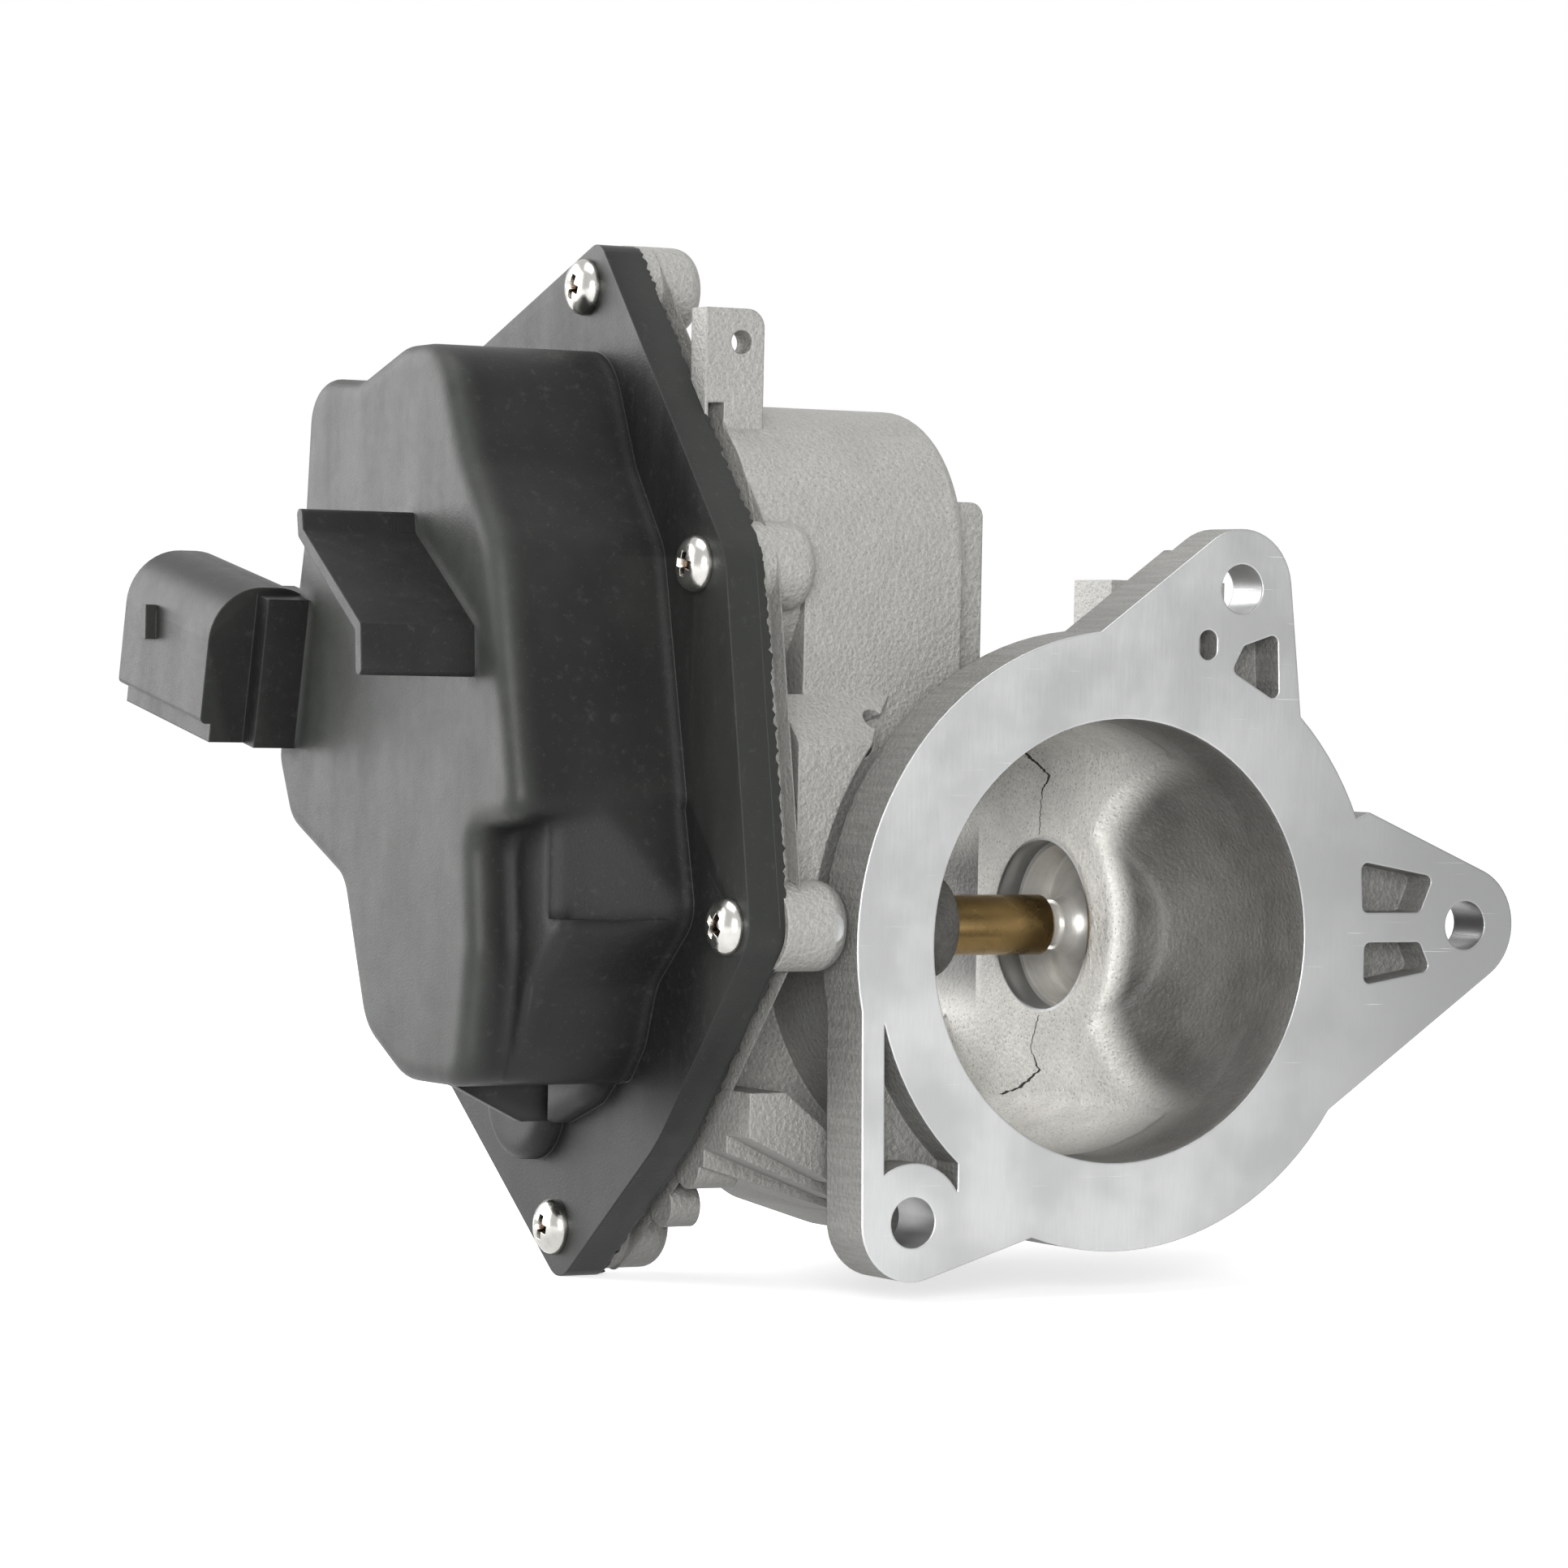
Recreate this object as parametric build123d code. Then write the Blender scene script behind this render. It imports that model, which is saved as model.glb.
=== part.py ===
from build123d import *
import os
from math import acos, atan2, cos, degrees, pi, radians, sin, sqrt, tan

# Electric exhaust gas recirculation valve, in millimetres, +Z up.
# The origin is the centre of the big flange bore on the machined face. The face looks to -Y, the valve
# stem lies along X, and the moulded cover closes the -X side. Places in a plane across the stem are
# written as (y, z), places in a plane along the flange as (x, z).

# Mounting flange
FLANGE_RADIUS = 41.9
FLANGE_THICK = 9.0
BORE_RADIUS = 30.0
BORE_STRAIGHT = 14.0
BOLT_HOLE_RADIUS = 3.4
EAR_RADIUS = 8.2
TOP_EAR = (18.4, 47.9)
RIGHT_EAR = (57.4, 1.9)
LOW_EAR = (-32.4, -37.1)
SPOT_FACE_RADIUS = 8.6
SPOT_FACE_DEPTH = 2.0
POCKET_DEPTH = 5.5
POCKET_WALL = 3.4
SLOT_AT = (13.0, 40.2)
SLOT_SIZE = (2.9, 4.1)
SLOT_ROUND = 1.4
SLOT_DEPTH = 4.0

# Air duct
DUCT_RADIUS = 36.0
DUCT_BORE = 30.6
DUCT_REAR = 78.0
DUCT_INNER_REAR = 72.0
SPIGOT_RADIUS = 26.0
SPIGOT_BORE = 22.5
SPIGOT_LENGTH = 20.0
BEAD_HEIGHT = 1.4
BEAD_WIDTH = 3.0

# Valve axis, seen along X, and the port that the poppet closes
STEM_Y = 47.0
STEM_Z = 0.0
PORT_FACE_X = 17.5
PORT_RADIUS = 12.1
PORT_BOSS_RADIUS = 18.5
PORT_DEPTH = 3.5
SEAT_LENGTH = 4.5
SEAT_OUTER = 14.0
SEAT_INNER = 11.4
CHAMBER_RADIUS = 16.5
CHAMBER_WALL = 4.0
CHAMBER_END_X = 61.0
PLUG_DEPTH = 4.0
PLUG_WALL = 1.2
STEM_RADIUS = 3.0
HEAD_RADIUS = 13.0
HEAD_RIM = 1.8
TULIP_LENGTH = 6.4
TULIP_RADIUS = 10.8
GUIDE_RADIUS = 4.3
GUIDE_LENGTH = 51.5
GUIDE_CHAMFER = 0.6
GUIDE_BOSS_RADIUS = 7.7
GUIDE_BOSS_END_X = 0.0
GUIDE_BOSS_ROUND = 2.5
RUNNING_GAP = 0.04

# Exhaust inlet flange, at the back right
INLET_X = 48.5
INLET_Z = 12.0
INLET_BORE = 9.0
INLET_MOUTH = 8.0
INLET_CORE = 9.4
INLET_BOSS = 14.5
INLET_FLANGE_Y = 62.0
INLET_FLANGE_THICK = 10.0
INLET_FLANGE_WIDTH = 20.0
INLET_BOLT_SPACING = 55.0
INLET_BOLT_RADIUS = 3.4
INLET_BOLT_DEPTH = 10.0
INLET_END_MARGIN = 10.3
INLET_RIB = 8.0

# Gear plate of the body, which the cover closes
SEAL_FACE_X = -52.5
PLATE_THICK = 3.0
PLATE_INSET = 0.6
COVER_CORNERS = (
    (44.5, 93.6, 3.0),
    (8.9, 51.0, 8.0),
    (0.4, 0.4, 5.0),
    (24.0, -28.0, 30.0),
    (50.5, -49.2, 4.0),
    (95.5, -15.0, 8.0),
    (96.5, 40.0, 12.0),
    (92.5, 74.5, 6.0),
)
SCREW_PLACES = (
    (47.9, 87.3),
    (15.8, 49.4),
    (5.9, 2.0),
    (51.8, -41.4),
    (87.5, -11.5),
    (86.0, 69.5),
)
SCREW_BOSS_RADIUS = 6.0
SCREW_BOSS_LENGTH = 10.0
SCREW_RADIUS = 1.95
SCREW_LENGTH = 13.0
SCREW_HEAD_RADIUS = 3.9
SCREW_HEAD_HEIGHT = 2.5
SCREW_CLEARANCE = 0.25
THREAD_CLEARANCE = 0.03

# Motor tower and the motor in it
MOTOR_Y = 36.0
MOTOR_Z = 51.0
TOWER_RADIUS = 20.5
TOWER_END_X = -16.0
TOWER_END_WALL = 4.0
LAYER_THICK = 5.0
TOWER_EDGE = 2.0
FRONT_WALL_X = -41.7
CAN_RADIUS = 15.5
CAN_WALL = 1.3
CAN_LENGTH = 30.0
CAN_CLEARANCE = 0.25
END_PLATE_THICK = 2.0
END_PLATE_EAR = 4.0
MOTOR_SCREW_REACH = 18.7
MOTOR_SCREW_ANGLES = (60.0, 240.0)
MOTOR_SCREW_RADIUS = 1.45
MOTOR_SCREW_HEAD = 2.7
MOTOR_SCREW_LENGTH = 8.0
MAGNET_THICK = 2.8
MAGNET_LENGTH = 20.0
MAGNET_ARC = 130.0
MAGNET_GAP = 0.05
ROTOR_GAP = 0.5
ROTOR_SLOTS = 7
ROTOR_SLOT_WIDTH = 2.4
ROTOR_SLOT_DEPTH = 5.0
COMMUTATOR_RADIUS = 4.6
COMMUTATOR_LENGTH = 4.0
SHAFT_RADIUS = 1.6
BUSH_RADIUS = 3.6
BUSH_LENGTH = 3.0
WAVE_SPRING_THICK = 0.6

# Gear train
MODULE = 1.0
PRESSURE_ANGLE = 25.0
BACKLASH = 0.14
CENTRE_GAP = 0.12
PINION_TEETH = 11
BIG_TEETH = 36
SMALL_TEETH = 12
OUTPUT_TEETH = 51
SECTOR_TEETH = 14
SECTOR_LEAD = 1
SECTOR_FACE = 5.0
SMALL_FACE = 6.0
BIG_FACE = 4.0
PINION_FACE = 5.0
GEAR_STEP_GAP = 1.0
GEAR_PIN_RADIUS = 2.0
GEAR_PIN_SEAT = 6.0
GEAR_PIN_TOP = 4.0
GEAR_BOSS_RADIUS = 5.0

# Helical cam: the barrel turns on the sleeve and its two slots push the rollers along the stem
STROKE = 6.0
CAM_TURN = 80.0
CAM_END_TURN = 4.0
SLEEVE_INNER = 7.8
SLEEVE_OUTER = 9.3
SLEEVE_SEAT = 2.0
SLEEVE_LENGTH = 20.5
BARREL_OUTER = 11.8
BARREL_LENGTH = 20.0
BARREL_CAP = 1.5
WASHER_THICK = 1.8
WASHER_OUTER = 14.0
BUSH_WALL = 1.2
GEAR_BUSH_LENGTH = 5.0
ROLLER_RADIUS = 1.9
ROLLER_CLEARANCE = 0.15
ROLLER_END_X = -68.5
CROSS_PIN_RADIUS = 1.1
CROSS_PIN_HALF = 11.4
ROLLER_INNER = 7.5
ROLLER_OUTER = 11.2
STEM_TAIL = 2.6
CUP_RADIUS = 7.3
CUP_THICK = 1.6
CUP_COLLAR_RADIUS = 4.6
CUP_COLLAR = 2.2
SPRING_RADIUS = 5.9
SPRING_WIRE = 0.65
SPRING_TURNS = 5.0
SPRING_POCKET_DEPTH = 5.5
SEAL_RADIUS = 6.4
SEAL_LENGTH = 5.0
STEM_PASSAGE = 3.7
STEM_BOSS_RADIUS = 13.0

# Position sensor
MAGNET_RING_RADIUS = 5.0
MAGNET_RING_THICK = 2.2
MAGNET_RIM = 1.0
BOARD_THICK = 1.4
BOARD_CORNERS = (
    (40.0, 10.0, 1.0),
    (40.0, -8.0, 1.0),
    (58.0, -8.0, 1.0),
    (62.0, 14.0, 1.0),
    (78.0, 22.0, 1.0),
    (78.0, 46.0, 1.0),
    (62.0, 46.0, 1.0),
    (57.0, 22.0, 1.0),
)
CHIP_SIZE = (5.0, 4.0, 0.5)

# Moulded cover
COVER_THICK = 5.5
COVER_WALL = 2.5
DOME_TOP_X = -84.0
DOME_ROUND = 2.2
DOME_CORNERS = (
    (40.5, 78.6, 9.0),
    (33.2, 62.6, 8.0),
    (25.0, 51.6, 7.0),
    (17.0, 15.5, 3.5),
    (30.0, 13.6, 3.5),
    (28.4, -2.0, 8.0),
    (31.0, -20.6, 5.0),
    (49.0, -20.6, 10.0),
    (60.5, -14.5, 9.0),
    (67.8, 5.5, 5.0),
    (84.5, 13.0, 6.0),
    (88.8, 22.0, 5.0),
    (82.2, 52.0, 8.0),
    (80.4, 75.0, 6.5),
    (65.5, 74.0, 6.0),
    (52.5, 78.4, 9.0),
)
# Lower lobe in front of the dome, with a sloped front wall
LOBE_X = -77.3
LOBE_FRONT = 14.6
LOBE_CORNERS = (
    (45.0, 24.0, 0.0),
    (19.8, 24.0, 0.0),
    (17.3, 14.0, 2.0),
    (LOBE_FRONT, 2.6, 5.0),
    (24.6, -6.8, 6.0),
    (27.4, -15.0, 4.0),
    (31.5, -20.2, 3.0),
    (46.0, -20.2, 1.0),
    (50.0, -8.0, 0.0),
)
LOBE_SLOPE = 5.5
LOBE_SLOPE_Z = (2.4, 25.0)
# Low skirt behind the dome, over the gear sector
SKIRT_X = -66.0
SKIRT_CORNERS = (
    (54.0, 70.0, 1.0),
    (52.0, -18.0, 4.0),
    (68.0, -19.0, 8.0),
    (90.0, 8.0, 9.0),
    (88.5, 36.0, 12.0),
    (87.5, 52.0, 6.0),
    (82.0, 60.0, 5.0),
    (79.5, 72.0, 5.0),
)
# Low step and nose between the dome and the lowest screw
STEP_X = -61.5
STEP_ROUND = 1.6
STEP_OUTLINE = (
    (30.0, -10.0, 0.0),
    (31.6, -17.4, 3.0),
    (38.5, -23.4, 5.0),
    (48.5, -27.0, 3.0),
    (62.0, -24.0, 2.0),
    (58.0, -10.0, 0.0),
)
NOSE_AT = (58.2, -23.8)
NOSE_RADIUS = 8.8
# Path of the seal round the gear space
SEAL_CORNERS = (
    (40.0, 79.3, 9.0),
    (33.8, 63.5, 6.0),
    (25.5, 55.0, 7.0),
    (14.0, 3.6, 5.0),
    (25.2, -8.8, 5.0),
    (29.5, -16.8, 4.0),
    (46.0, -27.5, 10.0),
    (72.0, -21.0, 9.0),
    (92.0, 8.0, 9.0),
    (89.0, 36.0, 12.0),
    (88.0, 52.0, 6.0),
    (81.9, 60.0, 5.0),
    (81.7, 76.0, 8.5),
)
FIN_Y = 38.0
FIN_THICK = 2.0
FIN_CORNERS = ((-83.0, -16.0), (-83.0, -19.8), (-71.0, -25.7), (-67.0, -25.7), (-67.0, -16.0))
SEAL_WALL = 0.6
SEAL_WIDTH = 1.1
SEAL_DEPTH = 1.2

# Harness clip on the dome
CLIP_REACH = 17.0
CLIP_THICK = 1.6
CLIP_POINTS = ((29.4, 34.7), (29.8, 40.2), (47.2, 52.6), (47.6, 55.0))

# Connector shell on the dome's back edge, tilted up to the rear
CONNECTOR_TILT = 11.0
CONNECTOR_X = -88.5
CONNECTOR_Y = 83.5
CONNECTOR_Z = 35.4
CONNECTOR_HALF = 8.8
CONNECTOR_TOP = 10.4
CONNECTOR_BOTTOM = 9.0
CONNECTOR_ROUND = 7.6
CONNECTOR_LENGTH = 28.0
CONNECTOR_WALL = 1.7
SOCKET_DEPTH = 22.0
RAIL_DROP = 2.6
RAIL_INSET = 1.6
NECK_LEFT = 2.0
NECK_LENGTH = 11.0
LATCH_AT = 17.0
LATCH_SIZE = (1.7, 4.0, 4.8)
PIN_COUNT = 5
PIN_PITCH = 2.8
PIN_WIDTH = 1.5
PIN_THICK = 0.8
PIN_LENGTH = 13.0
PIN_ROOT = 5.0

# Cast details on the body's visible side
TAB_X = (-52.5, -43.5)
TAB_Y = (24.5, 28.5)
TAB_TOP = 84.0
TAB_HOLE_AT = (-47.0, 79.5)
TAB_HOLE_RADIUS = 1.6
PAD_X = (-45.7, -25.5)
PAD_TOP = 32.5
PAD_LOW = 26.0
PAD_FRONT = 9.6
PAD_HOLE_AT = (-32.2, 29.0)
PAD_HOLE_RADIUS = 1.7
GROOVE_RADIUS = 43.0
BELLY_CORNERS = (
    (-50.0, 14.0, 0.0),
    (-50.0, -33.0, 0.0),
    (-33.0, -33.3, 8.0),
    (-24.0, -39.0, 8.0),
    (-10.0, -43.5, 10.0),
    (10.0, -43.5, 8.0),
    (20.0, -25.0, 0.0),
    (20.0, 14.0, 0.0),
)
BELLY_Y = (34.0, 62.0)
STEPS = (
    (14.0, -20.6, -36.0, -27.0),
    (20.0, -23.0, -32.0, -29.8),
    (26.0, -25.4, -28.0, -32.0),
)
STEP_CORNER_X = -44.0
STEP_THICK = 6.0
LUGS = ((30.5, -31.5, 3.2, 6.5), (37.5, -37.5, 3.0, 4.5))

# Values that follow from the sizes above
PLATE_BACK_X = SEAL_FACE_X + PLATE_THICK
COVER_FACE_X = SEAL_FACE_X - COVER_THICK
SEAT_X = PORT_FACE_X + PORT_DEPTH
SEAT_FACE_X = SEAT_X + SEAT_LENGTH
GUIDE_END_X = PORT_FACE_X
CAN_END_X = TOWER_END_X - TOWER_END_WALL
CAN_TOP_X = CAN_END_X - CAN_LENGTH
END_PLATE_TOP_X = CAN_TOP_X - END_PLATE_THICK
PITCH_PINION = MODULE * PINION_TEETH / 2
PITCH_BIG = MODULE * BIG_TEETH / 2
PITCH_SMALL = MODULE * SMALL_TEETH / 2
PITCH_OUTPUT = MODULE * OUTPUT_TEETH / 2
GEAR_BASE_X = SEAL_FACE_X - WASHER_THICK - 0.2
BARREL_TOP_X = GEAR_BASE_X - BARREL_LENGTH
BIG_BASE_X = GEAR_BASE_X - SMALL_FACE - GEAR_STEP_GAP + 0.5
CAM_PITCH = STROKE * 360.0 / CAM_TURN
DOME_INNER_X = DOME_TOP_X + COVER_WALL


def gear_pin_place():
    """Centre of the two-step gear: one step meshes with the motor pinion, the other with the sector."""
    to_motor = PITCH_PINION + PITCH_BIG + CENTRE_GAP
    to_stem = PITCH_SMALL + PITCH_OUTPUT + CENTRE_GAP
    dy = STEM_Y - MOTOR_Y
    dz = STEM_Z - MOTOR_Z
    span = sqrt(dy * dy + dz * dz)
    along = (to_motor ** 2 - to_stem ** 2 + span ** 2) / (2 * span)
    aside = sqrt(to_motor ** 2 - along ** 2)
    return (
        MOTOR_Y + along * dy / span - aside * dz / span,
        MOTOR_Z + along * dz / span + aside * dy / span,
    )


GEAR_Y, GEAR_Z = gear_pin_place()


def across(x):
    """Plane across the stem at x: local x is +Y, local y is +Z, the normal is +X."""
    return Plane(origin=(x, 0, 0), x_dir=(0, 1, 0), z_dir=(1, 0, 0))


def facing(y):
    """Plane of the flange at y: local x is +X, local y is +Z, the normal is -Y."""
    return Plane(origin=(0, y, 0), x_dir=(1, 0, 0), z_dir=(0, -1, 0))


def slab_x(sketch, x_low, x_high):
    return extrude(across(x_low) * sketch, amount=x_high - x_low)


def slab_y(sketch, y_low, y_high):
    return extrude(facing(y_high) * sketch, amount=y_high - y_low)


def rod_x(radius, x_low, x_high, y, z):
    return slab_x(Pos(y, z) * Circle(radius), x_low, x_high)


def rod_y(radius, y_low, y_high, x, z):
    return slab_y(Pos(x, z) * Circle(radius), y_low, y_high)


def rect(x_low, x_high, y_low, y_high):
    return Pos((x_low + x_high) / 2, (y_low + y_high) / 2) * Rectangle(x_high - x_low, y_high - y_low)


def box(x_span, y_span, z_span):
    return slab_x(rect(*y_span, *z_span), *x_span)


def rounded_outline(corners):
    """Closed outline from corners (a, b, radius), with an arc at each corner that has a radius."""
    starts = []
    ends = []
    edges = []
    count = len(corners)
    for i in range(count):
        here = Vector(corners[i][0], corners[i][1])
        before = (Vector(*corners[i - 1][:2]) - here).normalized()
        after = (Vector(*corners[(i + 1) % count][:2]) - here).normalized()
        radius = corners[i][2]
        if radius == 0:
            starts.append(here)
            ends.append(here)
            continue
        half = acos(max(-1.0, min(1.0, before.dot(after)))) / 2
        middle = (before + after).normalized()
        starts.append(here + before * (radius / tan(half)))
        ends.append(here + after * (radius / tan(half)))
        crown = here + middle * (radius / sin(half) - radius)
        edges.append(ThreePointArc(starts[-1], crown, ends[-1]))
    for i in range(count):
        edges.append(Line(ends[i - 1], starts[i]))
    return make_face(edges)


def web(root_a, root_b, centre, radius):
    """Ear web: straight flanks from two root points, tangent to the ear's round end."""
    tangents = []
    for root, side in ((root_a, 1), (root_b, -1)):
        reach = sqrt((root[0] - centre[0]) ** 2 + (root[1] - centre[1]) ** 2)
        turn = atan2(root[1] - centre[1], root[0] - centre[0]) + side * acos(radius / reach)
        tangents.append((centre[0] + radius * cos(turn), centre[1] + radius * sin(turn)))
    shape = make_face(Polyline(root_a, tangents[0], tangents[1], root_b, (0, 0), close=True))
    return shape + Pos(*centre) * Circle(radius)


# Flange outline, places as (x, z)
def ear_shapes():
    top = web((28.6, 30.5), (-4.5, 41.6), TOP_EAR, EAR_RADIUS)
    right = web((34.5, -23.6), (40.6, 17.6), RIGHT_EAR, EAR_RADIUS)
    low = web((-41.0, -4.0), (-13.5, -39.6), LOW_EAR, EAR_RADIUS - 0.3)
    return top, right, low


def flange_outline():
    top, right, low = ear_shapes()
    return Circle(FLANGE_RADIUS) + top + right + low


def flange_pockets():
    """Lightening pockets in the three ears."""
    rim = FLANGE_RADIUS - POCKET_WALL + 0.4
    top, right, low = ear_shapes()
    low_pocket = offset(low, amount=-POCKET_WALL) - Circle(rim)
    low_pocket -= Pos(*LOW_EAR) * Circle(EAR_RADIUS - 0.3)
    low_pocket -= rect(-25.5, 30, -60, 0)
    upper = rounded_outline(((39.4, 10.8, 1.0), (51.8, 8.7, 1.0), (49.6, 3.7, 1.0), (39.8, 3.7, 1.0)))
    lower = rounded_outline(((40.2, -0.4, 1.0), (49.7, -0.4, 1.0), (51.6, -4.4, 1.0), (40.2, -6.3, 1.0)))
    corner = rounded_outline(((24.5, 42.0, 1.0), (24.9, 32.4, 1.0), (17.0, 36.7, 1.0), (18.9, 40.2, 1.0)))
    return (low_pocket, upper, lower, corner)


def flange():
    plate = slab_y(flange_outline(), 0, FLANGE_THICK)
    for pocket in flange_pockets():
        plate -= slab_y(pocket, 0, POCKET_DEPTH)
    slot = Pos(*SLOT_AT) * RectangleRounded(*SLOT_SIZE, SLOT_ROUND)
    plate -= slab_y(slot, 0, SLOT_DEPTH)
    for centre in (TOP_EAR, RIGHT_EAR):
        plate -= rod_y(SPOT_FACE_RADIUS, FLANGE_THICK - SPOT_FACE_DEPTH, FLANGE_THICK, *centre)
    return plate


def bolt_holes():
    holes = []
    for x, z in (TOP_EAR, RIGHT_EAR, LOW_EAR):
        holes.append(rod_y(BOLT_HOLE_RADIUS, 0, FLANGE_THICK, x, z))
    return holes


def duct_outside():
    shape = rod_y(DUCT_RADIUS, FLANGE_THICK, DUCT_REAR, 0, 0)
    spigot_end = DUCT_REAR + SPIGOT_LENGTH
    shape += rod_y(SPIGOT_RADIUS, DUCT_REAR, spigot_end, 0, 0)
    bead = rod_y(SPIGOT_RADIUS + BEAD_HEIGHT, spigot_end - 2 * BEAD_WIDTH, spigot_end - BEAD_WIDTH, 0, 0)
    return shape + fillet(bead.edges(), BEAD_HEIGHT / 2)


def duct_inside():
    """Air path: a straight bore, a bowl behind it, and a duct with a flat side at the valve port."""
    front = rod_y(BORE_RADIUS, 0, BORE_STRAIGHT, 0, 0)
    bowl = Pos(0, BORE_STRAIGHT, 0) * Sphere(BORE_RADIUS)
    duct = rod_y(DUCT_BORE, BORE_STRAIGHT, DUCT_INNER_REAR, 0, 0)
    duct &= box((-DUCT_BORE, PORT_FACE_X), (0, DUCT_INNER_REAR), (-DUCT_BORE, DUCT_BORE))
    space = front + bowl + duct
    space -= rod_x(PORT_BOSS_RADIUS, PORT_FACE_X, BORE_RADIUS + 5, STEM_Y, STEM_Z)
    boss = rod_x(GUIDE_BOSS_RADIUS, -BORE_RADIUS - 5, GUIDE_BOSS_END_X, STEM_Y, STEM_Z)
    space -= fillet(boss.edges().sort_by(Axis.X)[-1], GUIDE_BOSS_ROUND)
    space += rod_y(SPIGOT_BORE, DUCT_INNER_REAR - 8, DUCT_REAR + SPIGOT_LENGTH, 0, 0)
    return space


def valve_chamber():
    """Exhaust side: chamber round the poppet and the inlet flange at its back."""
    half = INLET_FLANGE_WIDTH / 2
    reach = INLET_BOLT_SPACING / 2 + INLET_END_MARGIN
    flange_end = INLET_FLANGE_Y + INLET_FLANGE_THICK
    shape = rod_x(CHAMBER_RADIUS + CHAMBER_WALL, 5, CHAMBER_END_X, STEM_Y, STEM_Z)
    shape += rod_y(INLET_BOSS, STEM_Y - INLET_BOSS / 2, flange_end, INLET_X, INLET_Z)
    plate = rect(INLET_X - half, INLET_X + half, INLET_Z - reach, INLET_Z + reach)
    shape += slab_y(plate, INLET_FLANGE_Y, flange_end)
    rib_top = INLET_Z + reach - INLET_RIB / 2
    rib = make_face(Polyline((STEM_Y + 4, 10), (STEM_Y + 4, 18), (INLET_FLANGE_Y + 1, rib_top),
                             (INLET_FLANGE_Y + 1, 10), close=True))
    shape += slab_x(rib, INLET_X - INLET_RIB / 2, INLET_X + INLET_RIB / 2)
    return shape


def gear_plate():
    plate = slab_x(offset(rounded_outline(COVER_CORNERS), amount=-PLATE_INSET), SEAL_FACE_X, PLATE_BACK_X)
    for y, z in SCREW_PLACES:
        boss = rod_x(SCREW_BOSS_RADIUS, SEAL_FACE_X, SEAL_FACE_X + SCREW_BOSS_LENGTH, y, z)
        boss = fillet(boss.edges().sort_by(Axis.X)[-1], 2.5)
        plate += boss
    for y, z, radius, length in LUGS:
        plate += rod_x(radius, PLATE_BACK_X, PLATE_BACK_X + length, y, z)
    return plate


def motor_tower():
    round_part = rod_x(TOWER_RADIUS, SEAL_FACE_X, TOWER_END_X, MOTOR_Y, MOTOR_Z)
    round_part = fillet(round_part.edges().sort_by(Axis.X)[-1], TOWER_EDGE)
    wall = box((FRONT_WALL_X, TOWER_END_X - TOWER_EDGE / 2),
               (MOTOR_Y - TOWER_RADIUS, MOTOR_Y + TOWER_RADIUS), (20, MOTOR_Z))
    layer = box((TOWER_END_X - TOWER_EDGE, TOWER_END_X + LAYER_THICK), (MOTOR_Y - 16, MOTOR_Y + 14),
                (20, MOTOR_Z + 8))
    layer = fillet(layer.edges().filter_by(Axis.Y).group_by(Axis.Z)[-1], 2.0)
    tab = box(TAB_X, TAB_Y, (MOTOR_Z + 10, TAB_TOP))
    tab = fillet(tab.edges().filter_by(Axis.Y).group_by(Axis.Z)[-1].sort_by(Axis.X)[-1], 2.5)
    reach = MOTOR_SCREW_REACH
    shape = round_part + wall + layer + tab
    for angle in MOTOR_SCREW_ANGLES:
        y = MOTOR_Y + reach * cos(radians(angle))
        z = MOTOR_Z + reach * sin(radians(angle))
        shape += rod_x(END_PLATE_EAR, SEAL_FACE_X, END_PLATE_TOP_X + MOTOR_SCREW_LENGTH + 2, y, z)
    return shape


def front_pad():
    """Sloped shoulder under the tower, with a groove between it and the flange."""
    wall_front = MOTOR_Y - TOWER_RADIUS
    side = make_face(Polyline((PAD_FRONT, 3), (PAD_FRONT, PAD_LOW), (wall_front, PAD_TOP),
                              (wall_front + 6, PAD_TOP), (wall_front + 6, 3), close=True))
    shape = slab_x(side, *PAD_X)
    shape -= rod_y(GROOVE_RADIUS, 0, wall_front, 0, 0)
    return shape


def belly():
    """Lower body between the gear plate and the duct, with three stepped ribs in front of it."""
    shape = slab_y(rounded_outline(BELLY_CORNERS), *BELLY_Y)
    for front, top, end_x, end_z in STEPS:
        profile = make_face(Polyline((PLATE_BACK_X, top), (STEP_CORNER_X, top), (end_x, end_z),
                                     (end_x, end_z - STEP_THICK), (PLATE_BACK_X, top - STEP_THICK),
                                     close=True))
        shape += slab_y(profile, front, BELLY_Y[0] + 2)
    return shape


def stem_boss():
    return rod_x(STEM_BOSS_RADIUS, SEAL_FACE_X, -BORE_RADIUS, STEM_Y, STEM_Z)


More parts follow.
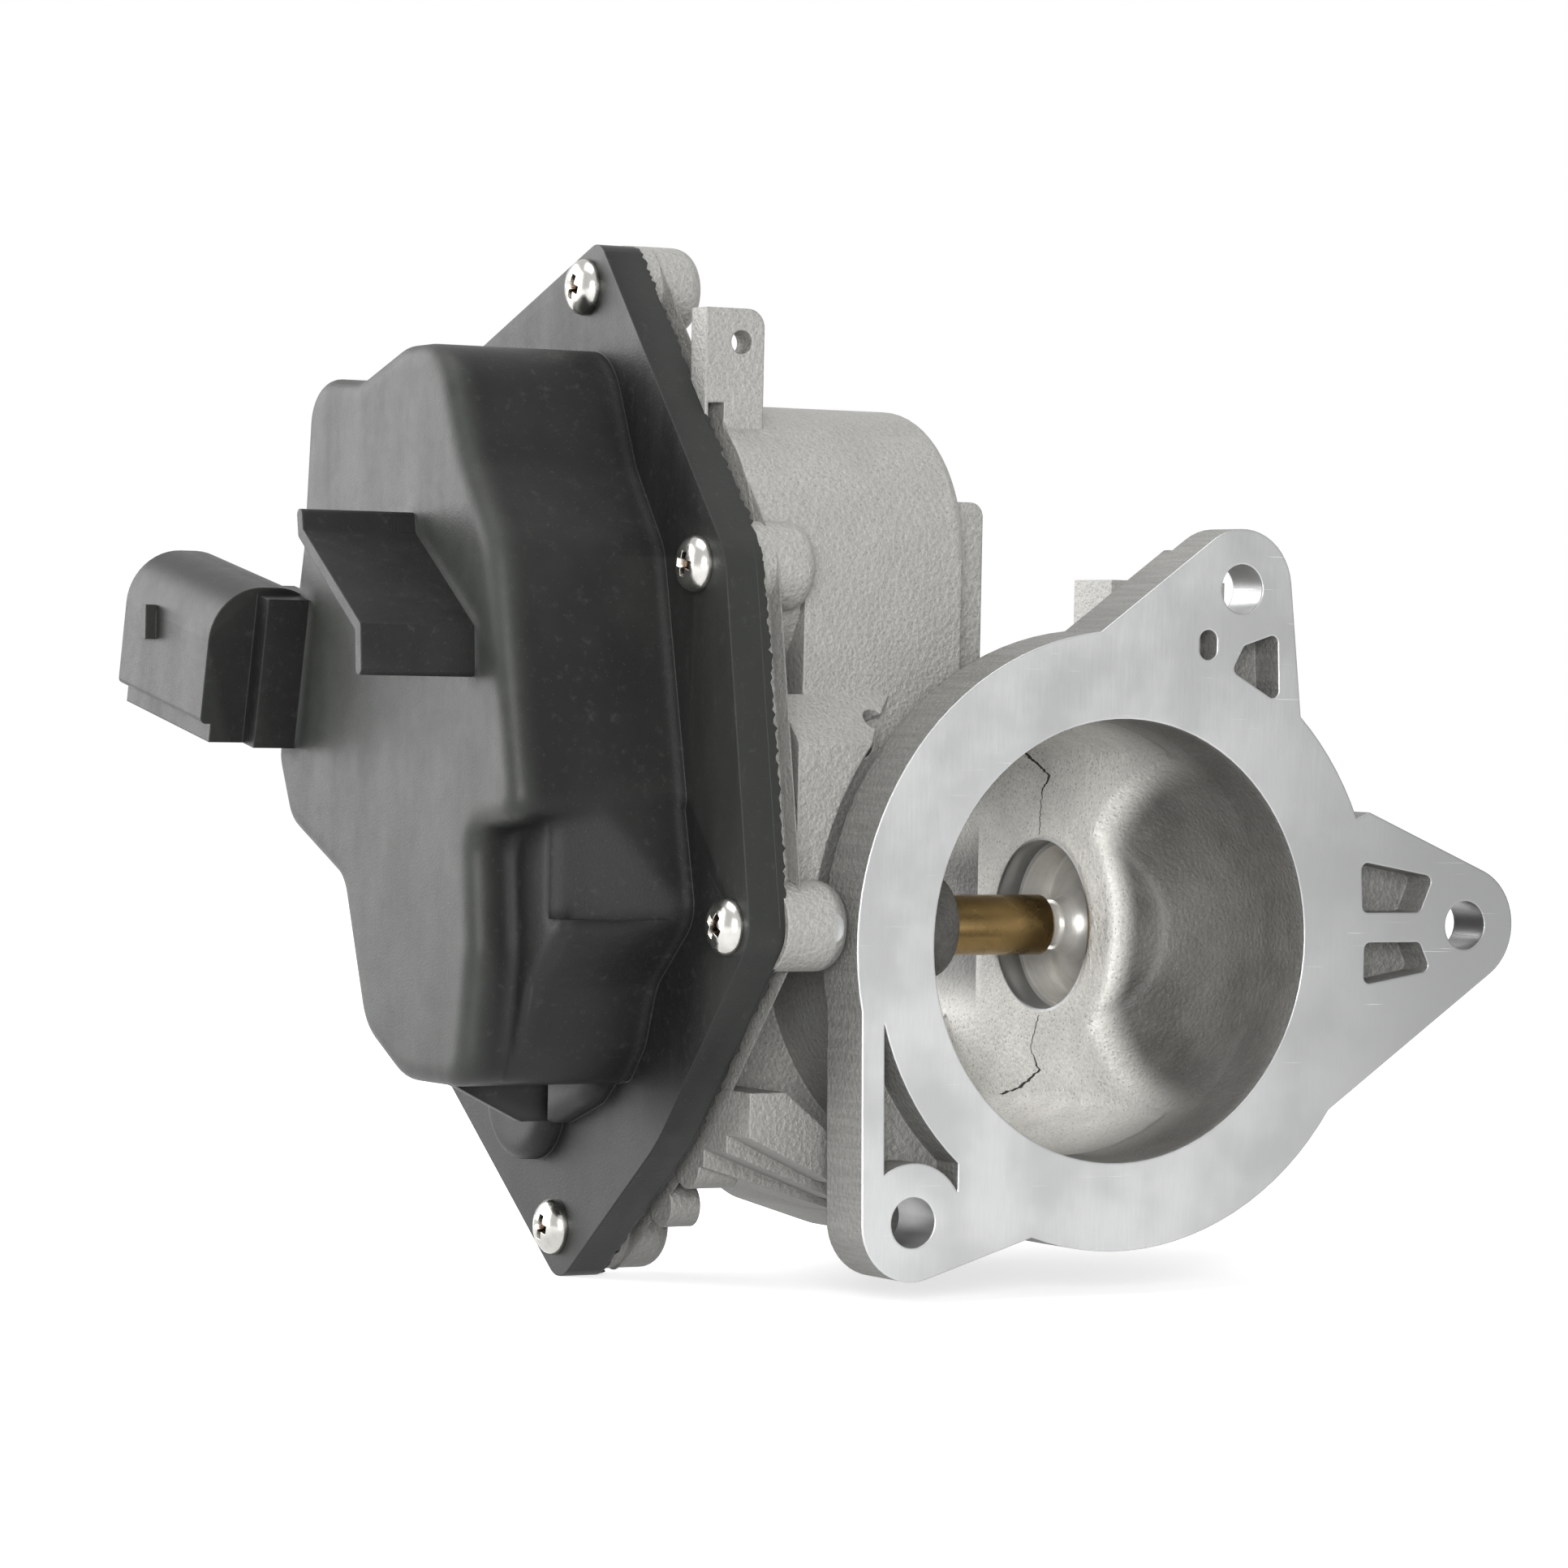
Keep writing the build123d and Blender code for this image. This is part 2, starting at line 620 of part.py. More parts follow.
def make_valve_body():
    body = flange() + duct_outside() + valve_chamber()
    body += gear_plate() + motor_tower() + front_pad() + belly() + stem_boss()
    body += rod_x(GEAR_BOSS_RADIUS, SEAL_FACE_X, SEAL_FACE_X + GEAR_PIN_SEAT + 3, GEAR_Y, GEAR_Z)
    body -= duct_inside()
    for hole in bolt_holes():
        body -= hole
    # Port, seat pocket and valve chamber
    body -= rod_x(PORT_RADIUS, PORT_FACE_X, SEAT_X, STEM_Y, STEM_Z)
    body -= rod_x(SEAT_OUTER, SEAT_X, SEAT_FACE_X, STEM_Y, STEM_Z)
    body -= rod_x(CHAMBER_RADIUS, SEAT_FACE_X, CHAMBER_END_X, STEM_Y, STEM_Z)
    inlet_end = INLET_FLANGE_Y + INLET_FLANGE_THICK
    mouth_start = inlet_end - INLET_MOUTH
    body -= rod_y(INLET_BORE, mouth_start, inlet_end, INLET_X, INLET_Z)
    body -= rod_y(INLET_CORE, STEM_Y, mouth_start, INLET_X, INLET_Z)
    for side in (-1, 1):
        z = INLET_Z + side * INLET_BOLT_SPACING / 2
        body -= rod_y(INLET_BOLT_RADIUS, inlet_end - INLET_BOLT_DEPTH, inlet_end, INLET_X, z)
    # Stem bore, seal pocket, spring pocket and sleeve seat
    guide_start_x = GUIDE_END_X - GUIDE_LENGTH
    pocket_x = SEAL_FACE_X + SPRING_POCKET_DEPTH
    seal_x = pocket_x + SEAL_LENGTH
    body -= rod_x(GUIDE_RADIUS, guide_start_x, GUIDE_END_X, STEM_Y, STEM_Z)
    body -= rod_x(STEM_PASSAGE, seal_x, guide_start_x, STEM_Y, STEM_Z)
    body -= rod_x(SEAL_RADIUS, pocket_x, seal_x, STEM_Y, STEM_Z)
    body -= rod_x(SLEEVE_INNER, SEAL_FACE_X, pocket_x, STEM_Y, STEM_Z)
    body -= rod_x(SLEEVE_OUTER, SEAL_FACE_X, SEAL_FACE_X + SLEEVE_SEAT, STEM_Y, STEM_Z)
    # Motor pocket, with the recess of the end plate
    can_room = CAN_RADIUS + CAN_CLEARANCE
    body -= rod_x(can_room, SEAL_FACE_X, CAN_END_X + WAVE_SPRING_THICK, MOTOR_Y, MOTOR_Z)
    body -= slab_x(end_plate_outline(CAN_CLEARANCE), SEAL_FACE_X, CAN_TOP_X)
    for angle in MOTOR_SCREW_ANGLES:
        y, z = motor_screw_place(angle)
        body -= rod_x(MOTOR_SCREW_RADIUS, SEAL_FACE_X, END_PLATE_TOP_X + MOTOR_SCREW_LENGTH, y, z)
    body -= rod_x(GEAR_PIN_RADIUS, SEAL_FACE_X, SEAL_FACE_X + GEAR_PIN_SEAT, GEAR_Y, GEAR_Z)
    for y, z in SCREW_PLACES:
        body -= rod_x(SCREW_RADIUS + THREAD_CLEARANCE, SEAL_FACE_X, COVER_FACE_X + SCREW_LENGTH, y, z)
    # Small holes of the tab and the pad
    body -= rod_y(TAB_HOLE_RADIUS, TAB_Y[0], TAB_Y[1], *TAB_HOLE_AT)
    pad_place = Plane(origin=(PAD_HOLE_AT[0], 13.0, PAD_HOLE_AT[1]), z_dir=(0, -1, 1))
    body -= extrude(pad_place * Circle(PAD_HOLE_RADIUS), amount=8, both=True) & box(PAD_X, (5, 20), (20, 40))
    return body


def motor_screw_place(angle):
    turn = radians(angle)
    return (MOTOR_Y + MOTOR_SCREW_REACH * cos(turn), MOTOR_Z + MOTOR_SCREW_REACH * sin(turn))


def end_plate_outline(extra):
    shape = Pos(MOTOR_Y, MOTOR_Z) * Circle(CAN_RADIUS + extra)
    ear = END_PLATE_EAR - 0.8 + extra
    for angle in MOTOR_SCREW_ANGLES:
        place = Pos(*motor_screw_place(angle)) * Rot(0, 0, angle)
        shape += place * Circle(ear) + place * Pos(-2 * ear, 0) * Rectangle(4 * ear, 2 * ear)
    return shape


def clip():
    """Bent strip that stands out of the dome and holds the harness."""
    path = Polyline(*CLIP_POINTS)
    strip = offset(path, amount=CLIP_THICK / 2, kind=Kind.ARC, side=Side.BOTH)
    return slab_x(make_face(strip.edges()), DOME_TOP_X - CLIP_REACH, DOME_INNER_X)


def connector_plane(shift=0.0):
    """Plane across the connector, shift along its axis; local x is +X, local y is up."""
    tilt = radians(CONNECTOR_TILT)
    origin = (CONNECTOR_X, CONNECTOR_Y + shift * cos(tilt), CONNECTOR_Z + shift * sin(tilt))
    return Plane(origin=origin, x_dir=(1, 0, 0), z_dir=(0, -cos(tilt), -sin(tilt)))


def connector_section(inset):
    side = CONNECTOR_HALF - inset
    top = CONNECTOR_TOP - inset
    low = -CONNECTOR_BOTTOM + inset
    turn = CONNECTOR_ROUND - inset
    return rounded_outline(((-side, low, 0.8), (-side, top, turn), (side, top, turn), (side, low, 0.8)))


def connector_shell():
    shape = extrude(connector_plane() * connector_section(0), amount=-CONNECTOR_LENGTH)
    rail_half = CONNECTOR_HALF - RAIL_INSET
    rail = rect(-rail_half, rail_half, -CONNECTOR_BOTTOM - RAIL_DROP, -CONNECTOR_BOTTOM + 1)
    shape += extrude(connector_plane() * rail, amount=-CONNECTOR_LENGTH)
    # Neck that carries the shell on the dome's back wall
    neck = rect(-NECK_LEFT, CONNECTOR_HALF - RAIL_INSET, -CONNECTOR_BOTTOM - RAIL_DROP, CONNECTOR_TOP - 1)
    shape += extrude(connector_plane(-NECK_LENGTH + 7.5) * neck, amount=-NECK_LENGTH)
    width, length, height = LATCH_SIZE
    ramp = make_face(Polyline((0, 0), (-width, 0), (-0.4, length), (0, length), close=True))
    latch_plane = Plane(
        origin=connector_plane(LATCH_AT).origin + Vector(-CONNECTOR_HALF, 0, -height / 2 + 2),
        x_dir=(1, 0, 0), z_dir=(0, 0, 1))
    shape += extrude(latch_plane * ramp, amount=height)
    return shape


def socket_space():
    start = CONNECTOR_LENGTH - SOCKET_DEPTH
    return extrude(connector_plane(start) * connector_section(CONNECTOR_WALL), amount=-SOCKET_DEPTH - 1)


def pin_offsets():
    return [(i - (PIN_COUNT - 1) / 2) * PIN_PITCH for i in range(PIN_COUNT)]


def seal_ring():
    """Groove of the seal: round the foot of the dome, the nose and the motor pocket."""
    inside = rounded_outline(SEAL_CORNERS) + Pos(*NOSE_AT) * Circle(NOSE_RADIUS)
    inside += Pos(MOTOR_Y, MOTOR_Z) * Circle(CAN_RADIUS + CAN_CLEARANCE + SEAL_WALL)
    return offset(inside, amount=SEAL_WIDTH) - inside


def raised(outline, top_x, edge):
    """Raised form on the cover's face, its outer edge rounded."""
    form = slab_x(outline, top_x, COVER_FACE_X)
    return fillet(form.faces().sort_by(Axis.X)[0].edges(), edge)


def lobe_slope(shift):
    """Wedge in front of the lobe that slopes its front wall; shift moves it inwards."""
    front = LOBE_FRONT + shift
    wedge = make_face(Polyline((COVER_FACE_X, front), (LOBE_X - 1, front + LOBE_SLOPE),
                               (LOBE_X - 1, front - LOBE_SLOPE), (COVER_FACE_X, front - LOBE_SLOPE),
                               close=True))
    return extrude(wedge, amount=LOBE_SLOPE_Z[1] - LOBE_SLOPE_Z[0]).moved(Location((0, 0, LOBE_SLOPE_Z[0])))


def make_cover():
    cover = slab_x(rounded_outline(COVER_CORNERS), COVER_FACE_X, SEAL_FACE_X)
    cover += raised(rounded_outline(SKIRT_CORNERS), SKIRT_X, DOME_ROUND)
    cover += raised(rounded_outline(LOBE_CORNERS), LOBE_X, DOME_ROUND / 2) - lobe_slope(0)
    cover += raised(rounded_outline(DOME_CORNERS), DOME_TOP_X, DOME_ROUND)
    cover += raised(rounded_outline(STEP_OUTLINE), STEP_X, STEP_ROUND)
    cover += raised(Pos(*NOSE_AT) * Circle(NOSE_RADIUS), STEP_X, STEP_ROUND)
    cover += slab_y(make_face(Polyline(*FIN_CORNERS, close=True)), FIN_Y, FIN_Y + FIN_THICK)
    cover += clip()
    cover += connector_shell()
    skirt_room = offset(rounded_outline(SKIRT_CORNERS), amount=-COVER_WALL)
    lobe_room = offset(rounded_outline(LOBE_CORNERS), amount=-COVER_WALL)
    dome_room = offset(rounded_outline(DOME_CORNERS), amount=-COVER_WALL)
    cover -= slab_x(skirt_room, SKIRT_X + COVER_WALL, SEAL_FACE_X)
    cover -= slab_x(lobe_room, LOBE_X + COVER_WALL, SEAL_FACE_X) - lobe_slope(COVER_WALL)
    cover -= slab_x(dome_room, DOME_INNER_X, SEAL_FACE_X)
    cover += rod_x(GEAR_BOSS_RADIUS, DOME_TOP_X + 1, gear_pin_top_x() + GEAR_PIN_TOP, GEAR_Y, GEAR_Z)
    cover -= rod_x(GEAR_PIN_RADIUS, gear_pin_top_x(), gear_pin_top_x() + GEAR_PIN_TOP, GEAR_Y, GEAR_Z)
    cover -= socket_space()
    cover -= slab_x(seal_ring(), SEAL_FACE_X - SEAL_DEPTH, SEAL_FACE_X)
    for y, z in SCREW_PLACES:
        cover -= rod_x(SCREW_RADIUS + SCREW_CLEARANCE, COVER_FACE_X, SEAL_FACE_X, y, z)
    for x in pin_offsets():
        cover -= pin_strip(x)
    return cover


def gear_pin_top_x():
    return BIG_BASE_X - BIG_FACE - 0.4 - GEAR_PIN_TOP


def pin_strip(x):
    """One terminal: a blade in the socket and a leg that runs back through the neck to the board."""
    blade = rect(x - PIN_WIDTH / 2, x + PIN_WIDTH / 2, -PIN_THICK / 2, PIN_THICK / 2)
    start = CONNECTOR_LENGTH - SOCKET_DEPTH
    strip = extrude(connector_plane(start + PIN_LENGTH) * blade, amount=PIN_LENGTH + PIN_ROOT)
    return strip


def make_connector_pins():
    return Compound(children=[pin_strip(x) for x in pin_offsets()])


def make_cover_seal():
    return slab_x(seal_ring(), SEAL_FACE_X - SEAL_DEPTH, SEAL_FACE_X)


def pan_screw(y, z):
    head = rod_x(SCREW_HEAD_RADIUS, COVER_FACE_X - SCREW_HEAD_HEIGHT, COVER_FACE_X, y, z)
    head = fillet(head.edges().sort_by(Axis.X)[0], SCREW_HEAD_HEIGHT * 0.6)
    return head + rod_x(SCREW_RADIUS, COVER_FACE_X, COVER_FACE_X + SCREW_LENGTH, y, z)


def make_cover_screws():
    return Compound(children=[pan_screw(y, z) for y, z in SCREW_PLACES])


def turned(points, axis_y, axis_z):
    """Solid of revolution about an axis along X; points are (x, radius)."""
    profile = make_face(Polyline(*points, close=True))
    return Pos(0, axis_y, axis_z) * revolve(profile, axis=Axis.X)


def make_stem_guide():
    start_x = GUIDE_END_X - GUIDE_LENGTH
    bore = STEM_RADIUS + RUNNING_GAP
    outer = GUIDE_RADIUS
    points = ((start_x, bore), (start_x, outer), (GUIDE_END_X - GUIDE_CHAMFER, outer),
              (GUIDE_END_X, outer - GUIDE_CHAMFER), (GUIDE_END_X, bore))
    return turned(points, STEM_Y, STEM_Z)


def stem_tail_x():
    return ROLLER_END_X - STEM_TAIL


def make_valve_stem():
    stem = rod_x(STEM_RADIUS, stem_tail_x(), SEAT_FACE_X + HEAD_RIM, STEM_Y, STEM_Z)
    return stem - cross_pin_rod()


def make_valve_head():
    """Poppet with a tulip back that reaches into the port; it rests on the seat ring's far face."""
    face_x = SEAT_FACE_X
    neck_x = face_x - TULIP_LENGTH
    curve = Spline((neck_x, STEM_RADIUS + 0.6), (face_x - 2.4, STEM_RADIUS + 3.4), (face_x, TULIP_RADIUS),
                   tangents=((1, 0), (0.45, 1)))
    profile = make_face([
        curve,
        Polyline((face_x, TULIP_RADIUS), (face_x, HEAD_RADIUS), (face_x + HEAD_RIM, HEAD_RADIUS),
                 (face_x + HEAD_RIM + 1.2, HEAD_RADIUS - 1.2), (face_x + HEAD_RIM + 1.2, 0),
                 (face_x + HEAD_RIM, 0), (face_x + HEAD_RIM, STEM_RADIUS), (neck_x, STEM_RADIUS),
                 (neck_x, STEM_RADIUS + 0.6)),
    ])
    return Pos(0, STEM_Y, STEM_Z) * revolve(profile, axis=Axis.X)


def make_valve_seat():
    points = ((SEAT_X, SEAT_INNER), (SEAT_X, SEAT_OUTER),
              (SEAT_FACE_X, SEAT_OUTER), (SEAT_FACE_X, SEAT_INNER))
    return turned(points, STEM_Y, STEM_Z)


def make_stem_seal():
    pocket_x = SEAL_FACE_X + SPRING_POCKET_DEPTH
    end_x = pocket_x + SEAL_LENGTH
    bore = STEM_RADIUS + RUNNING_GAP
    lip = 1.2
    points = ((pocket_x, bore + 1.4), (pocket_x, SEAL_RADIUS), (end_x, SEAL_RADIUS),
              (end_x, bore + 1.4), (end_x - lip, bore), (pocket_x + lip, bore))
    return turned(points, STEM_Y, STEM_Z)


def make_chamber_plug():
    start_x = CHAMBER_END_X - PLUG_DEPTH
    inner = CHAMBER_RADIUS - PLUG_WALL
    points = ((start_x, 0), (start_x, CHAMBER_RADIUS), (CHAMBER_END_X, CHAMBER_RADIUS),
              (CHAMBER_END_X, inner), (start_x + PLUG_WALL, inner), (start_x + PLUG_WALL, 0))
    return turned(points, STEM_Y, STEM_Z)


def roller_slot_width():
    return 2 * (ROLLER_RADIUS + ROLLER_CLEARANCE)


def make_guide_sleeve():
    start_x = SEAL_FACE_X + SLEEVE_SEAT
    end_x = start_x - SLEEVE_LENGTH - SLEEVE_SEAT
    tube = rod_x(SLEEVE_OUTER, end_x, start_x, STEM_Y, STEM_Z)
    tube -= rod_x(SLEEVE_INNER, end_x, start_x, STEM_Y, STEM_Z)
    reach = SLEEVE_OUTER + 2
    end_room = ROLLER_CLEARANCE + 0.3
    slot = facing_slot(ROLLER_END_X - end_room, ROLLER_END_X + STROKE + end_room)
    return tube - extrude(Plane.XY.offset(STEM_Z - reach) * slot, amount=2 * reach)


def facing_slot(x_low, x_high):
    """Straight slot seen from above, along X, with round ends centred on the roller's end places."""
    half = roller_slot_width() / 2
    shape = rect(x_low, x_high, STEM_Y - half, STEM_Y + half)
    return shape + Pos(x_low, STEM_Y) * Circle(half) + Pos(x_high, STEM_Y) * Circle(half)


def cross_pin_rod():
    plane = Plane(origin=(ROLLER_END_X, STEM_Y, STEM_Z - CROSS_PIN_HALF), z_dir=(0, 0, 1))
    return extrude(plane * Circle(CROSS_PIN_RADIUS), amount=2 * CROSS_PIN_HALF)


def make_rollers():
    rollers = []
    for side in (-1, 1):
        low = min(side * ROLLER_INNER, side * ROLLER_OUTER)
        plane = Plane(origin=(ROLLER_END_X, STEM_Y, STEM_Z + low), z_dir=(0, 0, 1))
        ring = Circle(ROLLER_RADIUS) - Circle(CROSS_PIN_RADIUS)
        rollers.append(extrude(plane * ring, amount=ROLLER_OUTER - ROLLER_INNER))
    return Compound(children=rollers)


def cup_x():
    return ROLLER_END_X + ROLLER_RADIUS + 0.6


def make_spring_cup():
    start = cup_x()
    points = ((start, STEM_RADIUS), (start, CUP_RADIUS), (start + CUP_THICK, CUP_RADIUS),
              (start + CUP_THICK, CUP_COLLAR_RADIUS), (start + CUP_THICK + CUP_COLLAR, CUP_COLLAR_RADIUS),
              (start + CUP_THICK + CUP_COLLAR, STEM_RADIUS))
    return turned(points, STEM_Y, STEM_Z)


def make_return_spring():
    seat_x = SEAL_FACE_X + SPRING_POCKET_DEPTH
    length = seat_x - cup_x() - CUP_THICK - 2 * SPRING_WIRE
    path = Helix(pitch=length / SPRING_TURNS, height=length, radius=SPRING_RADIUS)
    start = path @ 0
    section = Plane(origin=start, z_dir=path % 0) * RegularPolygon(SPRING_WIRE, 8)
    coil = sweep(section, path=path, is_frenet=True)
    start_x = cup_x() + CUP_THICK + SPRING_WIRE
    return Plane(origin=(start_x, STEM_Y, STEM_Z), x_dir=(0, 1, 0), z_dir=(1, 0, 0)) * coil


def involute(angle):
    return tan(angle) - angle


def tooth_points(teeth, centre_angle):
    """Outline points of one tooth: root, flank, tip, flank, root."""
    pitch = MODULE * teeth / 2
    base = pitch * cos(radians(PRESSURE_ANGLE))
    root = pitch - 1.25 * MODULE
    tip = pitch + 0.95 * MODULE
    half_tooth = (pi * MODULE / 2 - BACKLASH) / (2 * pitch) + involute(radians(PRESSURE_ANGLE))
    flank = []
    low = max(base, root + 0.05)
    for step in range(4):
        radius = low + (tip - low) * step / 3
        lean = half_tooth - involute(acos(min(1.0, base / radius)))
        flank.append((radius, lean))
    flank.insert(0, (root, flank[0][1]))
    left = [(r, centre_angle + lean) for r, lean in reversed(flank)]
    right = [(r, centre_angle - lean) for r, lean in flank]
    return [(r * cos(a), r * sin(a)) for r, a in right], [(r * cos(a), r * sin(a)) for r, a in left]


def gear_outline(teeth, first_angle, count=None):
    """Gear face with a tooth centred on first_angle, in degrees; count limits a sector's teeth."""
    points = []
    for i in range(count or teeth):
        rising, falling = tooth_points(teeth, radians(first_angle) + 2 * pi * i / teeth)
        points += rising + falling
    if count:
        points.append((0, 0))
    return make_face(Polyline(*points, close=True))


def mesh_angle(a, b):
    return degrees(atan2(b[1] - a[1], b[0] - a[0]))


def sector_start():
    """Angle of the sector's first tooth; the closed valve meshes a little way into the sector."""
    towards = mesh_angle((STEM_Y, STEM_Z), (GEAR_Y, GEAR_Z))
    return towards - SECTOR_LEAD * 360 / OUTPUT_TEETH


def cam_slot(turn):
    """Cutters of one helical slot: a coil from the closed to the open place, and its two round ends."""
    middle = (SLEEVE_OUTER + BARREL_OUTER) / 2
    depth = BARREL_OUTER - SLEEVE_OUTER + 3
    sweep_turn = CAM_TURN + 2 * CAM_END_TURN
    height = CAM_PITCH * sweep_turn / 360
    path = Helix(pitch=CAM_PITCH, height=height, radius=middle)
    section = Plane(origin=path @ 0, x_dir=(1, 0, 0), z_dir=path % 0) * Rectangle(depth, roller_slot_width())
    cutters = [sweep(section, path=path, is_frenet=True)]
    for angle, lift in ((0.0, 0.0), (sweep_turn, height)):
        end_plane = Plane(origin=(0, 0, lift), z_dir=(cos(radians(angle)), sin(radians(angle)), 0))
        cutters.append(extrude(end_plane * Circle(roller_slot_width() / 2), amount=middle + depth / 2))
    start_lift = -CAM_PITCH * CAM_END_TURN / 360
    place = Plane(origin=(ROLLER_END_X, STEM_Y, STEM_Z), x_dir=(0, 1, 0), z_dir=(1, 0, 0))
    return [place * Rot(0, 0, turn - CAM_END_TURN) * Pos(0, 0, start_lift) * cutter for cutter in cutters]


def make_output_gear():
    """Sector, cam barrel and magnet cup in one moulding, turning on the sleeve."""
    bore = SLEEVE_OUTER + RUNNING_GAP
    sector = gear_outline(OUTPUT_TEETH, sector_start(), SECTOR_TEETH)
    teeth = slab_x(Pos(STEM_Y, STEM_Z) * sector, GEAR_BASE_X - SECTOR_FACE, GEAR_BASE_X)
    points = ((GEAR_BASE_X, bore + BUSH_WALL), (GEAR_BASE_X, WASHER_OUTER),
              (GEAR_BASE_X - SECTOR_FACE, WASHER_OUTER), (GEAR_BASE_X - SECTOR_FACE, BARREL_OUTER),
              (BARREL_TOP_X, BARREL_OUTER), (BARREL_TOP_X, MAGNET_RING_RADIUS + MAGNET_RIM),
              (BARREL_TOP_X - MAGNET_RING_THICK, MAGNET_RING_RADIUS + MAGNET_RIM),
              (BARREL_TOP_X - MAGNET_RING_THICK, MAGNET_RING_RADIUS), (BARREL_TOP_X, MAGNET_RING_RADIUS),
              (BARREL_TOP_X, 0), (BARREL_TOP_X + BARREL_CAP, 0), (BARREL_TOP_X + BARREL_CAP, bore),
              (GEAR_BASE_X - GEAR_BUSH_LENGTH, bore), (GEAR_BASE_X - GEAR_BUSH_LENGTH, bore + BUSH_WALL))
    gear = teeth - rod_x(bore + BUSH_WALL, GEAR_BASE_X - SECTOR_FACE, GEAR_BASE_X, STEM_Y, STEM_Z)
    gear += turned(points, STEM_Y, STEM_Z)
    for cutter in cam_slot(90) + cam_slot(270):
        gear -= cutter
    return gear


def make_gear_bush():
    bore = SLEEVE_OUTER + RUNNING_GAP
    low = GEAR_BASE_X - GEAR_BUSH_LENGTH
    points = ((low, bore), (low, bore + BUSH_WALL), (GEAR_BASE_X, bore + BUSH_WALL), (GEAR_BASE_X, bore))
    return turned(points, STEM_Y, STEM_Z)


def make_thrust_washer():
    inner = SLEEVE_OUTER + 0.2
    low = SEAL_FACE_X - WASHER_THICK
    points = ((low, inner), (low, WASHER_OUTER), (SEAL_FACE_X, WASHER_OUTER), (SEAL_FACE_X, inner))
    return turned(points, STEM_Y, STEM_Z)


def make_sensor_magnet():
    return rod_x(MAGNET_RING_RADIUS, BARREL_TOP_X - MAGNET_RING_THICK, BARREL_TOP_X, STEM_Y, STEM_Z)


def make_sensor_board():
    board = slab_x(rounded_outline(BOARD_CORNERS), DOME_INNER_X, DOME_INNER_X + BOARD_THICK)
    y_half = CHIP_SIZE[0] / 2
    z_half = CHIP_SIZE[1] / 2
    chip = rect(STEM_Y - y_half, STEM_Y + y_half, STEM_Z - z_half, STEM_Z + z_half)
    chip_x = DOME_INNER_X + BOARD_THICK
    return board + slab_x(chip, chip_x, chip_x + CHIP_SIZE[2])


def make_intermediate_gear():
    small_angle = mesh_angle((GEAR_Y, GEAR_Z), (STEM_Y, STEM_Z)) + 180 / SMALL_TEETH
    big_angle = mesh_angle((GEAR_Y, GEAR_Z), (MOTOR_Y, MOTOR_Z))
    place = Pos(GEAR_Y, GEAR_Z)
    big_top_x = BIG_BASE_X - BIG_FACE
    gear = slab_x(place * gear_outline(SMALL_TEETH, small_angle), BIG_BASE_X, GEAR_BASE_X + 0.5)
    gear += slab_x(place * gear_outline(BIG_TEETH, big_angle), big_top_x, BIG_BASE_X)
    for i in range(6):
        turn = radians(60 * i)
        reach = (PITCH_BIG + PITCH_SMALL) / 2
        gear -= rod_x(3.4, big_top_x, BIG_BASE_X, GEAR_Y + reach * cos(turn), GEAR_Z + reach * sin(turn))
    return gear - rod_x(GEAR_PIN_RADIUS + RUNNING_GAP, big_top_x, GEAR_BASE_X + 0.5, GEAR_Y, GEAR_Z)


def make_gear_pin():
    return rod_x(GEAR_PIN_RADIUS, gear_pin_top_x(), SEAL_FACE_X + GEAR_PIN_SEAT, GEAR_Y, GEAR_Z)


def make_motor_can():
    points = ((CAN_TOP_X, CAN_RADIUS - CAN_WALL), (CAN_TOP_X, CAN_RADIUS), (CAN_END_X, CAN_RADIUS),
              (CAN_END_X, BUSH_RADIUS), (CAN_END_X - CAN_WALL, BUSH_RADIUS),
              (CAN_END_X - CAN_WALL, CAN_RADIUS - CAN_WALL))
    return turned(points, MOTOR_Y, MOTOR_Z)


def make_motor_end_plate():
    plate = slab_x(end_plate_outline(0), END_PLATE_TOP_X, CAN_TOP_X)
    plate -= rod_x(BUSH_RADIUS, END_PLATE_TOP_X, CAN_TOP_X, MOTOR_Y, MOTOR_Z)
    for angle in MOTOR_SCREW_ANGLES:
        plate -= flat_screw(angle)
    return plate


def flat_screw(angle):
    y, z = motor_screw_place(angle)
    cone = MOTOR_SCREW_HEAD - MOTOR_SCREW_RADIUS
    points = ((END_PLATE_TOP_X, 0), (END_PLATE_TOP_X, MOTOR_SCREW_HEAD),
              (END_PLATE_TOP_X + cone, MOTOR_SCREW_RADIUS),
              (END_PLATE_TOP_X + MOTOR_SCREW_LENGTH, MOTOR_SCREW_RADIUS),
              (END_PLATE_TOP_X + MOTOR_SCREW_LENGTH, 0))
    return turned(points, y, z)


def make_motor_screws():
    return Compound(children=[flat_screw(angle) for angle in MOTOR_SCREW_ANGLES])


def magnet_span():
    middle = (CAN_END_X + CAN_TOP_X) / 2 + 2
    return middle - MAGNET_LENGTH / 2, middle + MAGNET_LENGTH / 2


def make_motor_magnets():
    outer = CAN_RADIUS - CAN_WALL - MAGNET_GAP
    inner = outer - MAGNET_THICK
    low, high = magnet_span()
    ring = Circle(outer) - Circle(inner)
    half = radians(MAGNET_ARC / 2)
    far = outer * 3
    shapes = []
    for turn in (0, 180):
        wedge = make_face(Polyline((0, 0), (far * cos(half), far * sin(half)), (far * 2, 0),
                                   (far * cos(half), -far * sin(half)), close=True))
        arc = ring & Rot(0, 0, turn) * wedge
        shapes.append(slab_x(Pos(MOTOR_Y, MOTOR_Z) * arc, low, high))
    return Compound(children=shapes)


